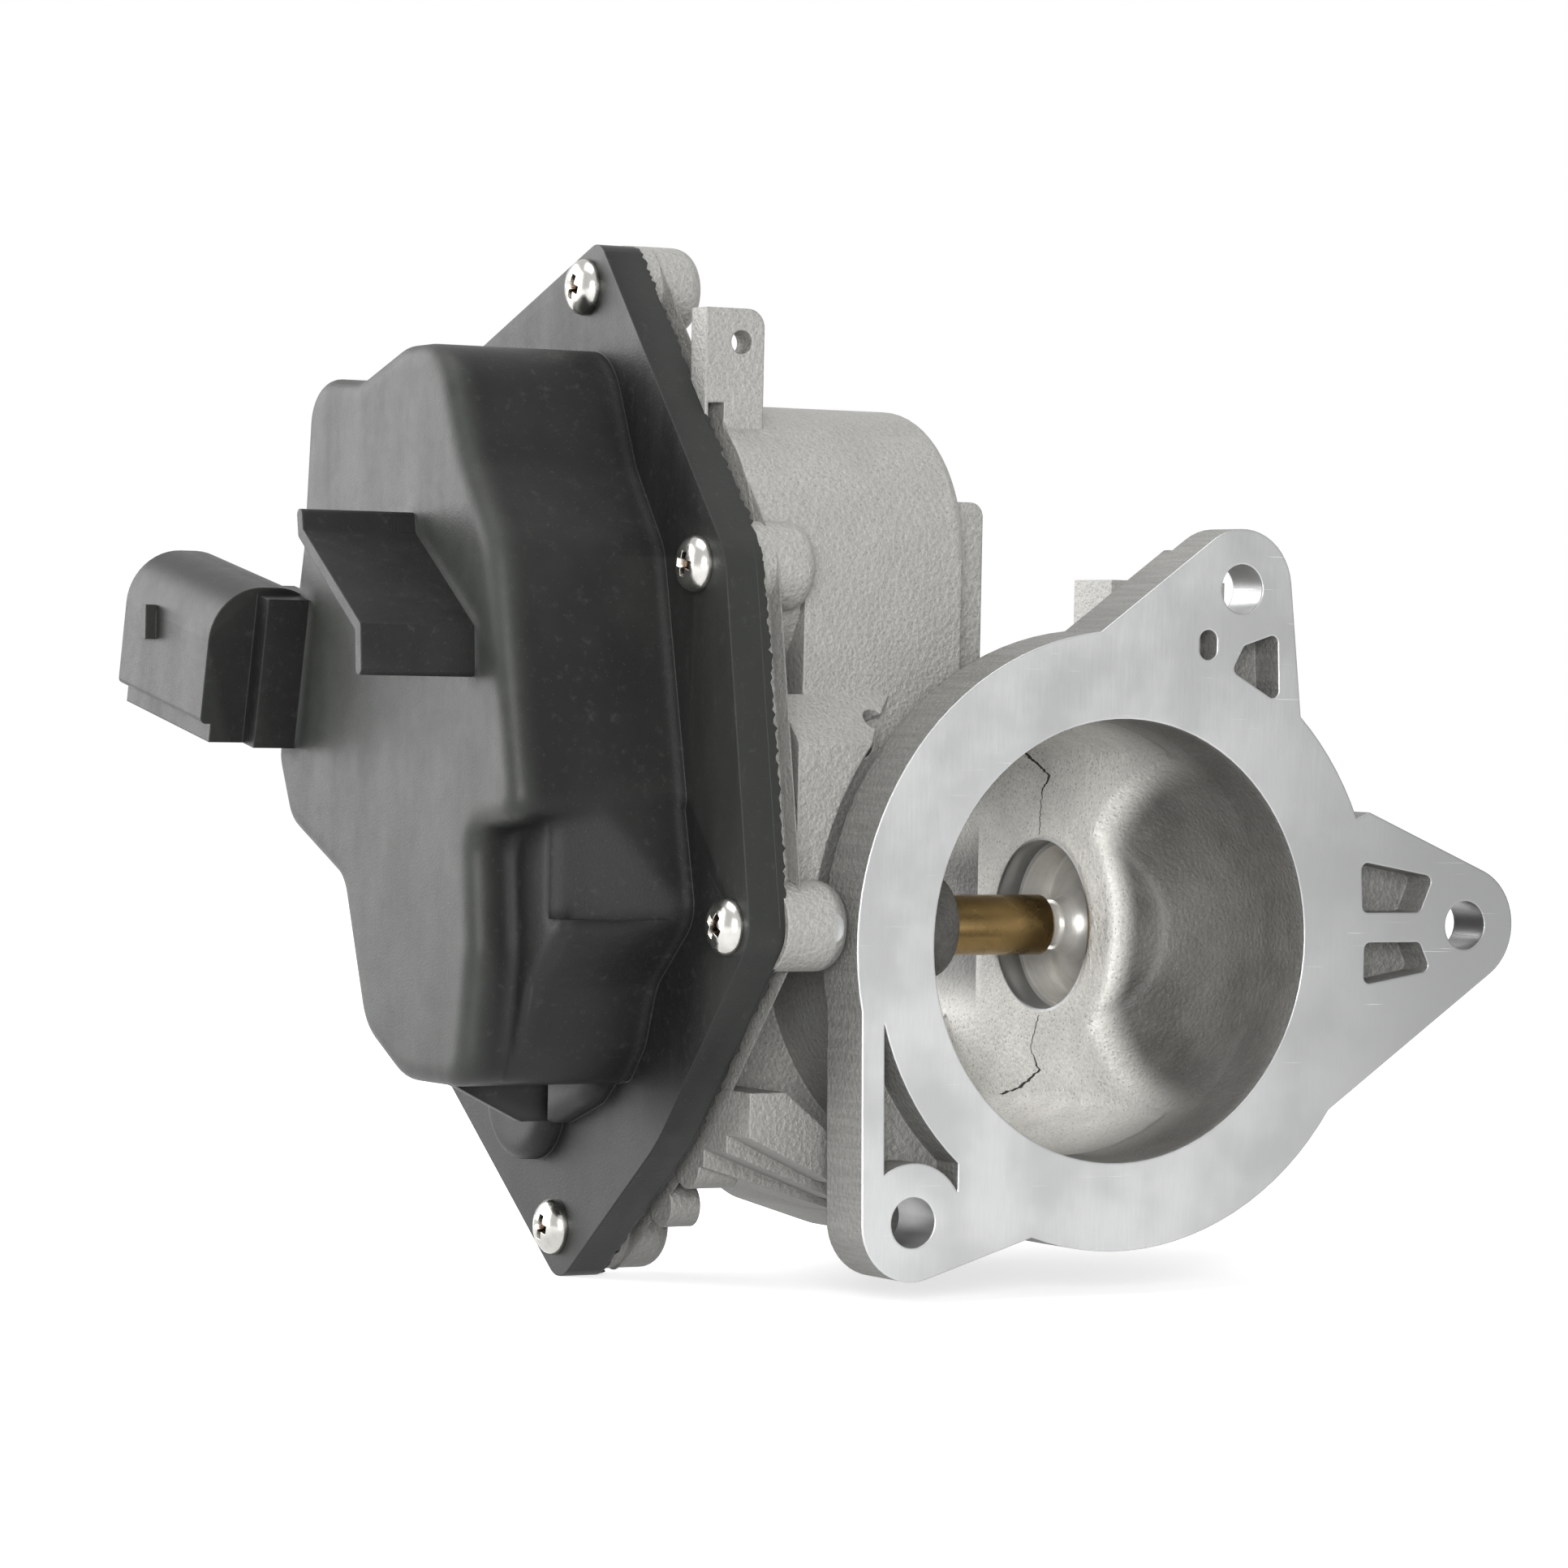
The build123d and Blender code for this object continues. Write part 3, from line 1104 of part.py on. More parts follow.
def make_motor_rotor():
    outer = CAN_RADIUS - CAN_WALL - MAGNET_THICK - ROTOR_GAP
    low, high = magnet_span()
    core = Circle(outer)
    for i in range(ROTOR_SLOTS):
        slot = Pos(outer - ROTOR_SLOT_DEPTH / 2, 0) * Rectangle(ROTOR_SLOT_DEPTH + 1, ROTOR_SLOT_WIDTH)
        core -= Rot(0, 0, 360 / ROTOR_SLOTS * i) * slot
    core -= Circle(SHAFT_RADIUS)
    return slab_x(Pos(MOTOR_Y, MOTOR_Z) * core, low, high)


def make_commutator():
    low = magnet_span()[0] - COMMUTATOR_LENGTH
    ring = Circle(COMMUTATOR_RADIUS) - Circle(SHAFT_RADIUS)
    return slab_x(Pos(MOTOR_Y, MOTOR_Z) * ring, low, low + COMMUTATOR_LENGTH)


def pinion_base_x():
    return BIG_BASE_X + 0.5


def make_motor_shaft():
    low = pinion_base_x() - PINION_FACE - 1.0
    return rod_x(SHAFT_RADIUS, low, CAN_END_X - 0.4, MOTOR_Y, MOTOR_Z)


def make_motor_pinion():
    angle = mesh_angle((MOTOR_Y, MOTOR_Z), (GEAR_Y, GEAR_Z)) + 180 / PINION_TEETH
    shape = gear_outline(PINION_TEETH, angle) - Circle(SHAFT_RADIUS)
    return slab_x(Pos(MOTOR_Y, MOTOR_Z) * shape, pinion_base_x() - PINION_FACE, pinion_base_x())


def make_motor_bushes():
    ring = Circle(BUSH_RADIUS) - Circle(SHAFT_RADIUS + RUNNING_GAP)
    ring = Pos(MOTOR_Y, MOTOR_Z) * ring
    front = slab_x(ring, END_PLATE_TOP_X, END_PLATE_TOP_X + BUSH_LENGTH)
    back = slab_x(ring, CAN_END_X - BUSH_LENGTH, CAN_END_X)
    return Compound(children=[front, back])


def make_wave_spring():
    ring = Circle(CAN_RADIUS - 2) - Circle(CAN_RADIUS - 6)
    return slab_x(Pos(MOTOR_Y, MOTOR_Z) * ring, CAN_END_X, CAN_END_X + WAVE_SPRING_THICK)


PARTS = {
    "valve_body": make_valve_body,
    "cover": make_cover,
    "cover_seal": make_cover_seal,
    "cover_screws": make_cover_screws,
    "connector_pins": make_connector_pins,
    "stem_guide": make_stem_guide,
    "valve_stem": make_valve_stem,
    "valve_head": make_valve_head,
    "valve_seat": make_valve_seat,
    "stem_seal": make_stem_seal,
    "chamber_plug": make_chamber_plug,
    "guide_sleeve": make_guide_sleeve,
    "cross_pin": cross_pin_rod,
    "rollers": make_rollers,
    "spring_cup": make_spring_cup,
    "return_spring": make_return_spring,
    "output_gear": make_output_gear,
    "gear_bush": make_gear_bush,
    "thrust_washer": make_thrust_washer,
    "sensor_magnet": make_sensor_magnet,
    "sensor_board": make_sensor_board,
    "intermediate_gear": make_intermediate_gear,
    "gear_pin": make_gear_pin,
    "motor_can": make_motor_can,
    "motor_end_plate": make_motor_end_plate,
    "motor_screws": make_motor_screws,
    "motor_magnets": make_motor_magnets,
    "motor_rotor": make_motor_rotor,
    "commutator": make_commutator,
    "motor_shaft": make_motor_shaft,
    "motor_bushes": make_motor_bushes,
    "motor_pinion": make_motor_pinion,
    "wave_spring": make_wave_spring,
}


def main():
    os.makedirs("parts", exist_ok=True)
    for node, make in PARTS.items():
        export_step(make(), "parts/" + node + ".step")


if __name__ == "__main__":
    main()
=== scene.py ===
import math
import random

import bmesh
import bpy
from bpy.props import FloatProperty, FloatVectorProperty, PointerProperty
from mathutils import Matrix, Vector


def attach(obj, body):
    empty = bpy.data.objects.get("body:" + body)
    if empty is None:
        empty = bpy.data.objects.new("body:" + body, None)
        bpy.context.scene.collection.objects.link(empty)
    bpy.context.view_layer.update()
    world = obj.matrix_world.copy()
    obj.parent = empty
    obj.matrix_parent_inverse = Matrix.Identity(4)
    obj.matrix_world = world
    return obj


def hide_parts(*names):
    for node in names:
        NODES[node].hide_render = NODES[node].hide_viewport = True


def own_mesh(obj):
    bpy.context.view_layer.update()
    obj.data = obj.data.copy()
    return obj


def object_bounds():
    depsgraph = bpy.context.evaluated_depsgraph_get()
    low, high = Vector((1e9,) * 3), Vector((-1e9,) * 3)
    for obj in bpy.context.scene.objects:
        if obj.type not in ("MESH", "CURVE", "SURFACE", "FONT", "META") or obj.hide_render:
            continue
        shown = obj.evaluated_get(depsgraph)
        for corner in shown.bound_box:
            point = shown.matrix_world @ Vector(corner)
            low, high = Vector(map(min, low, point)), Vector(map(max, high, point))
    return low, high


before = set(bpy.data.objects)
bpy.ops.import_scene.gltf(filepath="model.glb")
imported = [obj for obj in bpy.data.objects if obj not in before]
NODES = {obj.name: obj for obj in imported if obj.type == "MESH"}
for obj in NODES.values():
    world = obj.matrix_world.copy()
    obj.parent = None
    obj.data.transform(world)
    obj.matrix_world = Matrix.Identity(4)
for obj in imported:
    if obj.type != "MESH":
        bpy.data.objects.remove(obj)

bl_info = {
    "name": "EGR valve dressing",
    "version": (1, 0, 0),
    "blender": (4, 5, 0),
    "location": "View3D > Sidebar > EGR valve",
    "description": "Dresses the packed EGR valve: casting, cover, screws, valve and gear drive",
    "category": "Object",
}

CAD_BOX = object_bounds()
MM = 0.001

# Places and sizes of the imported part, in millimetres in the frame that it shares with the CAD
STEM_AXIS = (47.0, 0.0)
PORT_FACE_X = 17.5
PORT_RADIUS = 12.1
DUCT_RADIUS = 31.0
FLANGE_THICK = 9.0
FLANGE_LEFT_X = -45.0
FLANGE_HOLES = ((18.4, 47.9), (57.4, 1.9), (-32.4, -37.1))
HOLE_RADIUS = 3.4
INLET_FACE_Y = 72.0
INLET_LEFT_X = 37.5
SEAL_FACE_X = -52.5
COVER_FACE_X = -58.0
DOME_TOP_X = -84.0
PLATE_MIDDLE = (50.0, 22.0)
SCREW_PLACES = ((47.9, 87.3), (15.8, 49.4), (5.9, 2.0), (51.8, -41.4), (87.5, -11.5), (86.0, 69.5))
COVER_EDGE_X = SEAL_FACE_X - 0.9
SEAM_LINES = (
    ((51.7, 24.4), (48.5, 23.0), (45.2, 21.2), (47.4, 19.2), (47.6, 16.0), (47.8, 12.9)),
    ((46.9, -12.9), (48.4, -16.0), (48.9, -18.2), (46.3, -20.8), (51.0, -23.6), (56.0, -24.9)),
)

# Sizes in millimetres of what the dressing cuts and adds
MERGE_GAP = 0.002
PLATE_LIP = 0.5
PLATE_RECESS = 2.45
BOSS_RADIUS = 6.0
BOSS_LENGTH = 12.0
SHANK_RADIUS = 1.95
RECESS_LENGTH = 3.4
# Shape of the near-black strip of painted shadow along the core seam
SEAM_SWAY_Y = 0.22
SEAM_SWAY_Z = 0.12
SEAM_HAIRLINE = 0.10
SEAM_WIDENS_FROM = 18.0
SEAM_WIDENS_OVER = 6.0
SEAM_THICK = 0.04
FLASH_STEP = 0.9
FLASH_START = 1.0
FLASH_THICK = 0.25

# Shares: the rim's cutter next to the cover's outline, the flash inside it, and the recess next to the head
RIM_CUTTER_SHARE = 1.02
FLASH_SHARE = 0.9975
RECESS_START = 1.15
RECESS_TAPER = (1, 0.6, 0.4)

# Angles in degrees above which an edge stays sharp
CAST_SHARP = 34
SCREW_SHARP = 28
SPRING_SHARP = 40

# Outline of a pan head from its top, as shares of its height and radius
HEAD_PROFILE = ((1.0, 0.0), (1.0, 0.30), (0.93, 0.55), (0.76, 0.78), (0.48, 0.94), (0.18, 1.0), (0.0, 0.98))

# Sizes in millimetres of the patterns and of the relief on the casting and the moulding
CAST_GRAIN = 0.36
CAST_PITS = 0.8
CAST_SPECKS = 0.6
CAST_MOTTLE = 7.0
CAST_RELIEF = 0.145
CAST_EDGE = 0.4
DUCT_EDGE = 2.5
DUCT_PATCHES = 11.0
MILLED_CLOUD = 16.0
MILLED_RELIEF = 0.010
MOULDED_GRAIN = 0.35
MOULDED_DUST = 1.6
MOULDED_SPECKS = 0.9
MOULDED_DUST_AND_SHEEN = 7.0
MOULDED_RELIEF = 0.03
MOULDED_EDGE = 0.3
FINE_EDGE = 0.15

# Places in millimetres where a tone starts to fade in and where the fade ends; each one places painted
# shade or painted light
LOW_SHADE_Z = (-12.0, -40.0)
BOWL_SHADE_Z = (-12.0, -24.0)
BOWL_SHADE_X = (22.0, 34.0)
PAINTED_LIGHT_X = (22.0, PORT_FACE_X)
PAINTED_LIGHT_LEFT_X = (1.0, 5.0)
PAINTED_LIGHT_Y = (6.0, 32.0)
EAR_SHADE_X = (0.0, 62.0)

# Name, power setting, size and place of each lamp, in metres
LAMPS = (
    ("rear_left_lamp", "side_power", (1.4, 1.2), (-0.80, 0.86, 0.26)),
    ("top_lamp", "top_power", (0.9, 0.9), (-0.25, -0.05, 1.1)),
    ("front_left_lamp", "front_power", (0.45, 0.45), (-0.55, -0.85, 0.16)),
)
LAMP_TARGET = (-0.02, 0.04, 0.02)

# White table: radius in metres, colour for the light it throws back, colour and glow where it is seen
TABLE_RADIUS = 6.0
TABLE_THROWS = (0.5, 0.5, 0.5)
TABLE_SHOWS = (0.8, 0.8, 0.8)
TABLE_GLOW = 0.62

WHITE = (1.0, 1.0, 1.0, 1.0)
SPECK_COLOUR = (0.85, 0.85, 0.84)
SEAM_SHADOW_COLOUR = (0.045, 0.04, 0.034)
RECESS_DIRT_AND_SHADE = (0.10, 0.075, 0.055)


class ValveSizes(bpy.types.PropertyGroup):
    """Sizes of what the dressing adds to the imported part."""
    dome_blend: FloatProperty(
        name="Dome blend", description="How far the shading of the dome's corners is rounded",
        default=3.4 * MM, min=0, max=6 * MM, unit="LENGTH")
    rim_share: FloatProperty(
        name="Rim recess", description="Share of the gear plate's outline that its recessed rim keeps",
        default=0.90, min=0.7, max=1.0)
    screw_radius: FloatProperty(
        name="Screw head radius", description="Outer radius of a pan head",
        default=3.9 * MM, unit="LENGTH")
    screw_height: FloatProperty(
        name="Screw head height", description="Height of a pan head",
        default=2.45 * MM, unit="LENGTH")
    screw_shank: FloatProperty(
        name="Screw length", description="Length of the shank under the head",
        default=13.0 * MM, unit="LENGTH")
    recess_width: FloatProperty(
        name="Recess width", description="Width of one wing of the cross recess",
        default=1.5 * MM, unit="LENGTH")
    recess_span: FloatProperty(
        name="Recess span", description="Length across the cross recess",
        default=5.6 * MM, unit="LENGTH")
    flash_reach: FloatProperty(
        name="Flash reach", description="How far the ragged moulding flash stands out",
        default=0.8 * MM, unit="LENGTH")


class ValveColours(bpy.types.PropertyGroup):
    """Colours of the valve's finishes."""
    casting: FloatVectorProperty(
        name="Casting", description="Sand-blasted cast aluminium", subtype="COLOR", size=3, min=0, max=1,
        default=(0.305, 0.302, 0.288))
    duct: FloatVectorProperty(
        name="Duct", description="Stained casting inside the air duct", subtype="COLOR", size=3,
        min=0, max=1, default=(0.165, 0.161, 0.149))
    # Bright colour that paints light onto the wall round the valve port and the duct beside it
    port_wall_painted_light: FloatVectorProperty(
        name="Port wall painted light", description="Flat wall round the valve port", subtype="COLOR", size=3,
        min=0, max=1, default=(0.94, 0.92, 0.87))
    machined: FloatVectorProperty(
        name="Machined face", description="Milled flange and bores", subtype="COLOR", size=3, min=0, max=1,
        default=(0.50, 0.505, 0.505))
    moulding: FloatVectorProperty(
        name="Moulding", description="Black moulded cover", subtype="COLOR", size=3, min=0, max=1,
        default=(0.0095, 0.0102, 0.0093))
    brass: FloatVectorProperty(
        name="Brass", description="Stem guide and pinion", subtype="COLOR", size=3, min=0, max=1,
        default=(0.33, 0.222, 0.092))
    steel: FloatVectorProperty(
        name="Steel", description="Stem, poppet and seat", subtype="COLOR", size=3, min=0, max=1,
        default=(0.74, 0.725, 0.69))
    screw: FloatVectorProperty(
        name="Screw plating", description="Bright plated screws", subtype="COLOR", size=3, min=0, max=1,
        default=(0.50, 0.49, 0.465))
    gear: FloatVectorProperty(
        name="Gear plastic", description="Natural glass-filled gear plastic", subtype="COLOR", size=3,
        min=0, max=1, default=(0.62, 0.58, 0.47))


class StudioSettings(bpy.types.PropertyGroup):
    """Camera, lamps and backdrop."""
    lens: FloatProperty(
        name="Lens", description="Focal length in millimetres", default=139.75, min=20, max=400)
    camera_turn: FloatProperty(
        name="Camera turn", description="Turn of the camera about the upright", default=math.radians(30.7),
        subtype="ANGLE")
    camera_tilt: FloatProperty(
        name="Camera tilt", description="How far the camera looks down", default=math.radians(1.1),
        subtype="ANGLE")
    camera_roll: FloatProperty(
        name="Camera roll", description="Roll of the camera", default=math.radians(1.15), subtype="ANGLE")
    camera_place: FloatVectorProperty(
        name="Camera place", description="Where the camera stands", subtype="TRANSLATION", size=3,
        default=(-0.45838, -0.68176, 0.03604))
    sky: FloatProperty(name="Sky", description="Light of the white room", default=0.50, min=0, max=3)
    side_power: FloatProperty(
        name="Side lamp", description="Power of the large lamp at the rear left, in watts",
        default=26, min=0)
    top_power: FloatProperty(
        name="Top lamp", description="Power of the overhead lamp, in watts",
        default=7, min=0)
    front_power: FloatProperty(
        name="Front lamp", description="Power of the lamp at the front left, in watts",
        default=11, min=0)


class NodeSheet:
    """Short calls for one material's nodes. Every pattern reads object coordinates."""

    def __init__(self, name):
        self.material = bpy.data.materials.new(name)
        self.material.use_nodes = True
        self.tree = self.material.node_tree
        self.shader = self.tree.nodes["Principled BSDF"]
        self.place = self.tree.nodes.new("ShaderNodeTexCoord").outputs["Object"]

    def link(self, source, target):
        self.tree.links.new(source, target)

    def put(self, target, value):
        if isinstance(value, bpy.types.NodeSocket):
            self.link(value, target)
        else:
            target.default_value = value

    def sum(self, operation, *values, clamp=False):
        node = self.tree.nodes.new("ShaderNodeMath")
        node.operation = operation
        node.use_clamp = clamp
        for slot, value in zip(node.inputs, values):
            self.put(slot, value)
        return node.outputs[0]

    def axes(self):
        node = self.tree.nodes.new("ShaderNodeSeparateXYZ")
        self.link(self.place, node.inputs[0])
        return node.outputs

    def stretch(self, scale, turn=(0, 0, 0)):
        node = self.tree.nodes.new("ShaderNodeMapping")
        self.link(self.place, node.inputs["Vector"])
        node.inputs["Scale"].default_value = scale
        node.inputs["Rotation"].default_value = turn
        return node.outputs[0]

    def noise(self, size, detail=3.0, rough=0.55, vector=None):
        """Noise with features of about this size, in metres; a stretched vector has size 1."""
        node = self.tree.nodes.new("ShaderNodeTexNoise")
        self.link(vector or self.place, node.inputs["Vector"])
        node.inputs["Scale"].default_value = 1 / size
        node.inputs["Detail"].default_value = detail
        node.inputs["Roughness"].default_value = rough
        return node.outputs["Fac"]

    def cells(self, size):
        """Distance from scattered points that stand about this far apart, in metres."""
        node = self.tree.nodes.new("ShaderNodeTexVoronoi")
        self.link(self.place, node.inputs["Vector"])
        node.inputs["Scale"].default_value = 1 / size
        return node.outputs["Distance"]

    def fit(self, value, low, high, to_low=0.0, to_high=1.0):
        """Soft step of a value from one number to another."""
        node = self.tree.nodes.new("ShaderNodeMapRange")
        node.interpolation_type = "SMOOTHSTEP"
        for slot, number in zip(node.inputs, (value, low, high, to_low, to_high)):
            self.put(slot, number)
        return node.outputs[0]

    def blend(self, share, first, second):
        """Mix of two colours by a share from 0 to 1."""
        node = self.tree.nodes.new("ShaderNodeMix")
        node.data_type = "RGBA"
        self.put(node.inputs["Factor"], share)
        for slot, value in ((6, first), (7, second)):
            self.put(node.inputs[slot], value if isinstance(value, bpy.types.NodeSocket) else (*value, 1.0))
        return node.outputs[2]

    def blend_value(self, share, first, second):
        node = self.tree.nodes.new("ShaderNodeMix")
        for slot, value in zip((0, 2, 3), (share, first, second)):
            self.put(node.inputs[slot], value)
        return node.outputs[0]

    def bump(self, height, depth, normal=None, strength=1.0):
        node = self.tree.nodes.new("ShaderNodeBump")
        node.inputs["Distance"].default_value = depth
        self.put(node.inputs["Strength"], strength)
        self.link(height, node.inputs["Height"])
        if normal:
            self.link(normal, node.inputs["Normal"])
        return node.outputs[0]

    def round_edges(self, radius):
        node = self.tree.nodes.new("ShaderNodeBevel")
        node.samples = 8
        self.put(node.inputs["Radius"], radius)
        return node.outputs[0]

    def fade(self, place, ends, to_low=0.0, to_high=1.0):
        """Soft step between two places in millimetres."""
        return self.fit(place, ends[0] * MM, ends[1] * MM, to_low, to_high)

    def near_axis(self, first, second, first_place, second_place, radius, soft=0.15 * MM):
        """1 inside a round bar along the third axis, 0 outside it."""
        a = self.sum("SUBTRACT", first, first_place)
        b = self.sum("SUBTRACT", second, second_place)
        reach = self.sum("SQRT", self.sum("ADD", self.sum("MULTIPLY", a, a), self.sum("MULTIPLY", b, b)))
        return self.fit(reach, radius + soft, radius - soft)

    def finish(self, colour, metal, rough, normal=None, **sockets):
        self.put(self.shader.inputs["Base Color"], colour if isinstance(colour, bpy.types.NodeSocket)
                 else (*colour, 1.0))
        self.put(self.shader.inputs["Metallic"], metal)
        self.put(self.shader.inputs["Roughness"], rough)
        if normal:
            self.link(normal, self.shader.inputs["Normal"])
        for name, value in sockets.items():
            self.shader.inputs[name.replace("_", " ")].default_value = value
        return self.material


def shade(colour, factor):
    return tuple(min(1.0, part * factor) for part in colour)


def paint(node_or_piece, material):
    node_or_piece.data.materials.clear()
    node_or_piece.data.materials.append(material)


def paint_nodes(material, *nodes):
    for node in nodes:
        paint(NODES[node], material)


def colours():
    return bpy.context.scene.valve_colours


def sizes():
    return bpy.context.scene.valve_sizes


def flange_side_share(sheet, x):
    """1 to the right of the cover, where the flange is."""
    return sheet.fade(x, (FLANGE_LEFT_X - 0.5, FLANGE_LEFT_X + 0.5))


def beyond_port_face(sheet, x):
    """1 from the wall round the valve port on, towards the valve chamber."""
    return sheet.fade(x, (PORT_FACE_X - 0.3, PORT_FACE_X - 0.1))


def milled_share(sheet, x, y, z):
    """1 on the milled faces: flange, bolt holes, valve port and inlet flange."""
    front = sheet.sum("MULTIPLY", sheet.fade(y, (0.25, 0.12)), flange_side_share(sheet, x))
    rear = sheet.sum("MULTIPLY", sheet.fade(y, (INLET_FACE_Y - 0.2, INLET_FACE_Y - 0.1)),
                     sheet.fade(x, (INLET_LEFT_X - 0.5, INLET_LEFT_X + 0.5)))
    share = sheet.sum("MAXIMUM", front, rear)
    depth = sheet.fade(y, (FLANGE_THICK + 0.2, FLANGE_THICK + 0.1))
    for hole_x, hole_z in FLANGE_HOLES:
        hole = sheet.near_axis(x, z, hole_x * MM, hole_z * MM, (HOLE_RADIUS + 0.2) * MM)
        share = sheet.sum("MAXIMUM", share, sheet.sum("MULTIPLY", hole, depth))
    port = sheet.near_axis(y, z, STEM_AXIS[0] * MM, STEM_AXIS[1] * MM, (PORT_RADIUS + 0.35) * MM)
    port = sheet.sum("MULTIPLY", port, beyond_port_face(sheet, x))
    return sheet.sum("MAXIMUM", share, port, clamp=True)


def cast_tone(sheet, x, y, z, grain, mottle):
    """Blasted skin: grainy, clouded and darker on the flange's trimmed rim, with painted shade that darkens
    it low down.
    """
    base = colours().casting
    tone = sheet.blend(sheet.fit(grain, 0.3, 0.7), shade(base, 0.86), shade(base, 1.10))
    tone = sheet.blend(sheet.fit(mottle, 0.35, 0.75, 0.0, 0.4), tone, shade(base, 0.78))
    # Painted shade: the casting darkens towards the bottom, where less light reaches
    tone = sheet.blend(sheet.fade(z, LOW_SHADE_Z, 0.0, 0.6), tone, shade(base, 0.62))
    streak = sheet.noise(1.0, 3.0, 0.6, sheet.stretch((1600, 90, 1600)))
    rim = sheet.sum("MULTIPLY", sheet.fade(y, (FLANGE_THICK + 0.3, FLANGE_THICK)),
                    flange_side_share(sheet, x))
    skin = sheet.blend(sheet.fit(streak, 0.35, 0.65), shade(base, 0.50), shade(base, 0.64))
    return sheet.blend(sheet.sum("MULTIPLY", rim, 0.85), tone, skin)


def duct_tone(sheet, x, y, z, grain, mottle):
    """Stained duct with painted light and painted shade: a bright tone painted as light on the wall round
    the valve port and the duct beside it, fading into a dark band of painted shade in the bowl next to the
    wall; painted shade also darkens the duct towards its bottom.
    """
    look = colours()
    tone = sheet.blend(sheet.fit(mottle, 0.35, 0.65), shade(look.duct, 0.75), shade(look.duct, 1.15))
    # Painted shade: the duct darkens towards its bottom
    tone = sheet.blend(sheet.fade(z, BOWL_SHADE_Z, 0.0, 0.5), tone, shade(look.duct, 0.5))
    tone = sheet.blend(sheet.fit(grain, 0.5, 0.75, 0.0, 0.4), tone, shade(look.duct, 1.4))
    # Painted shade: a dark band in the bowl next to the port wall, where the wall rolls over into it
    tone = sheet.blend(sheet.fade(x, BOWL_SHADE_X), shade(look.duct, 0.5), tone)
    # Painted light: a bright tone on the port wall and on the duct beside it, away from the mouth
    wall = sheet.sum("MULTIPLY", beyond_port_face(sheet, x),
                     sheet.fade(x, (PORT_FACE_X + 0.5, PORT_FACE_X + 0.3)))
    rolled = sheet.sum("MULTIPLY", sheet.fade(x, PAINTED_LIGHT_X), sheet.fade(x, PAINTED_LIGHT_LEFT_X))
    painted_light_share = sheet.sum("MULTIPLY", sheet.sum("MAXIMUM", wall, rolled), sheet.fade(y, PAINTED_LIGHT_Y))
    wall_painted_light = sheet.blend(sheet.fit(grain, 0.35, 0.7), shade(look.port_wall_painted_light, 0.86),
                            shade(look.port_wall_painted_light, 1.08))
    return sheet.blend(painted_light_share, tone, wall_painted_light)


def scratches(sheet, turn, count):
    """Few fine straight scratches, turned about the face's normal."""
    lines = sheet.noise(1.0, 2.0, 0.5, sheet.stretch((60, 60, 2600), (0, math.radians(turn), 0)))
    return sheet.fit(lines, count, count + 0.05)


def milled_tone(sheet, x, fine, nicks):
    """Milled aluminium: cutter marks, clouds, nicks, and painted shade that darkens it towards the right
    ear.
    """
    base = colours().machined
    cloud = sheet.noise(MILLED_CLOUD * MM, 3.0, 0.5)
    tone = sheet.blend(sheet.fit(fine, 0.3, 0.7), shade(base, 0.97), shade(base, 1.03))
    tone = sheet.blend(sheet.fit(cloud, 0.35, 0.65, 0.0, 0.8), tone, shade(base, 0.74))
    # Painted shade: the milled face darkens towards the right ear
    tone = sheet.blend(sheet.fade(x, EAR_SHADE_X), tone, shade(base, 0.56))
    return sheet.blend(sheet.sum("MULTIPLY", nicks, 0.6), tone, shade(base, 1.3))


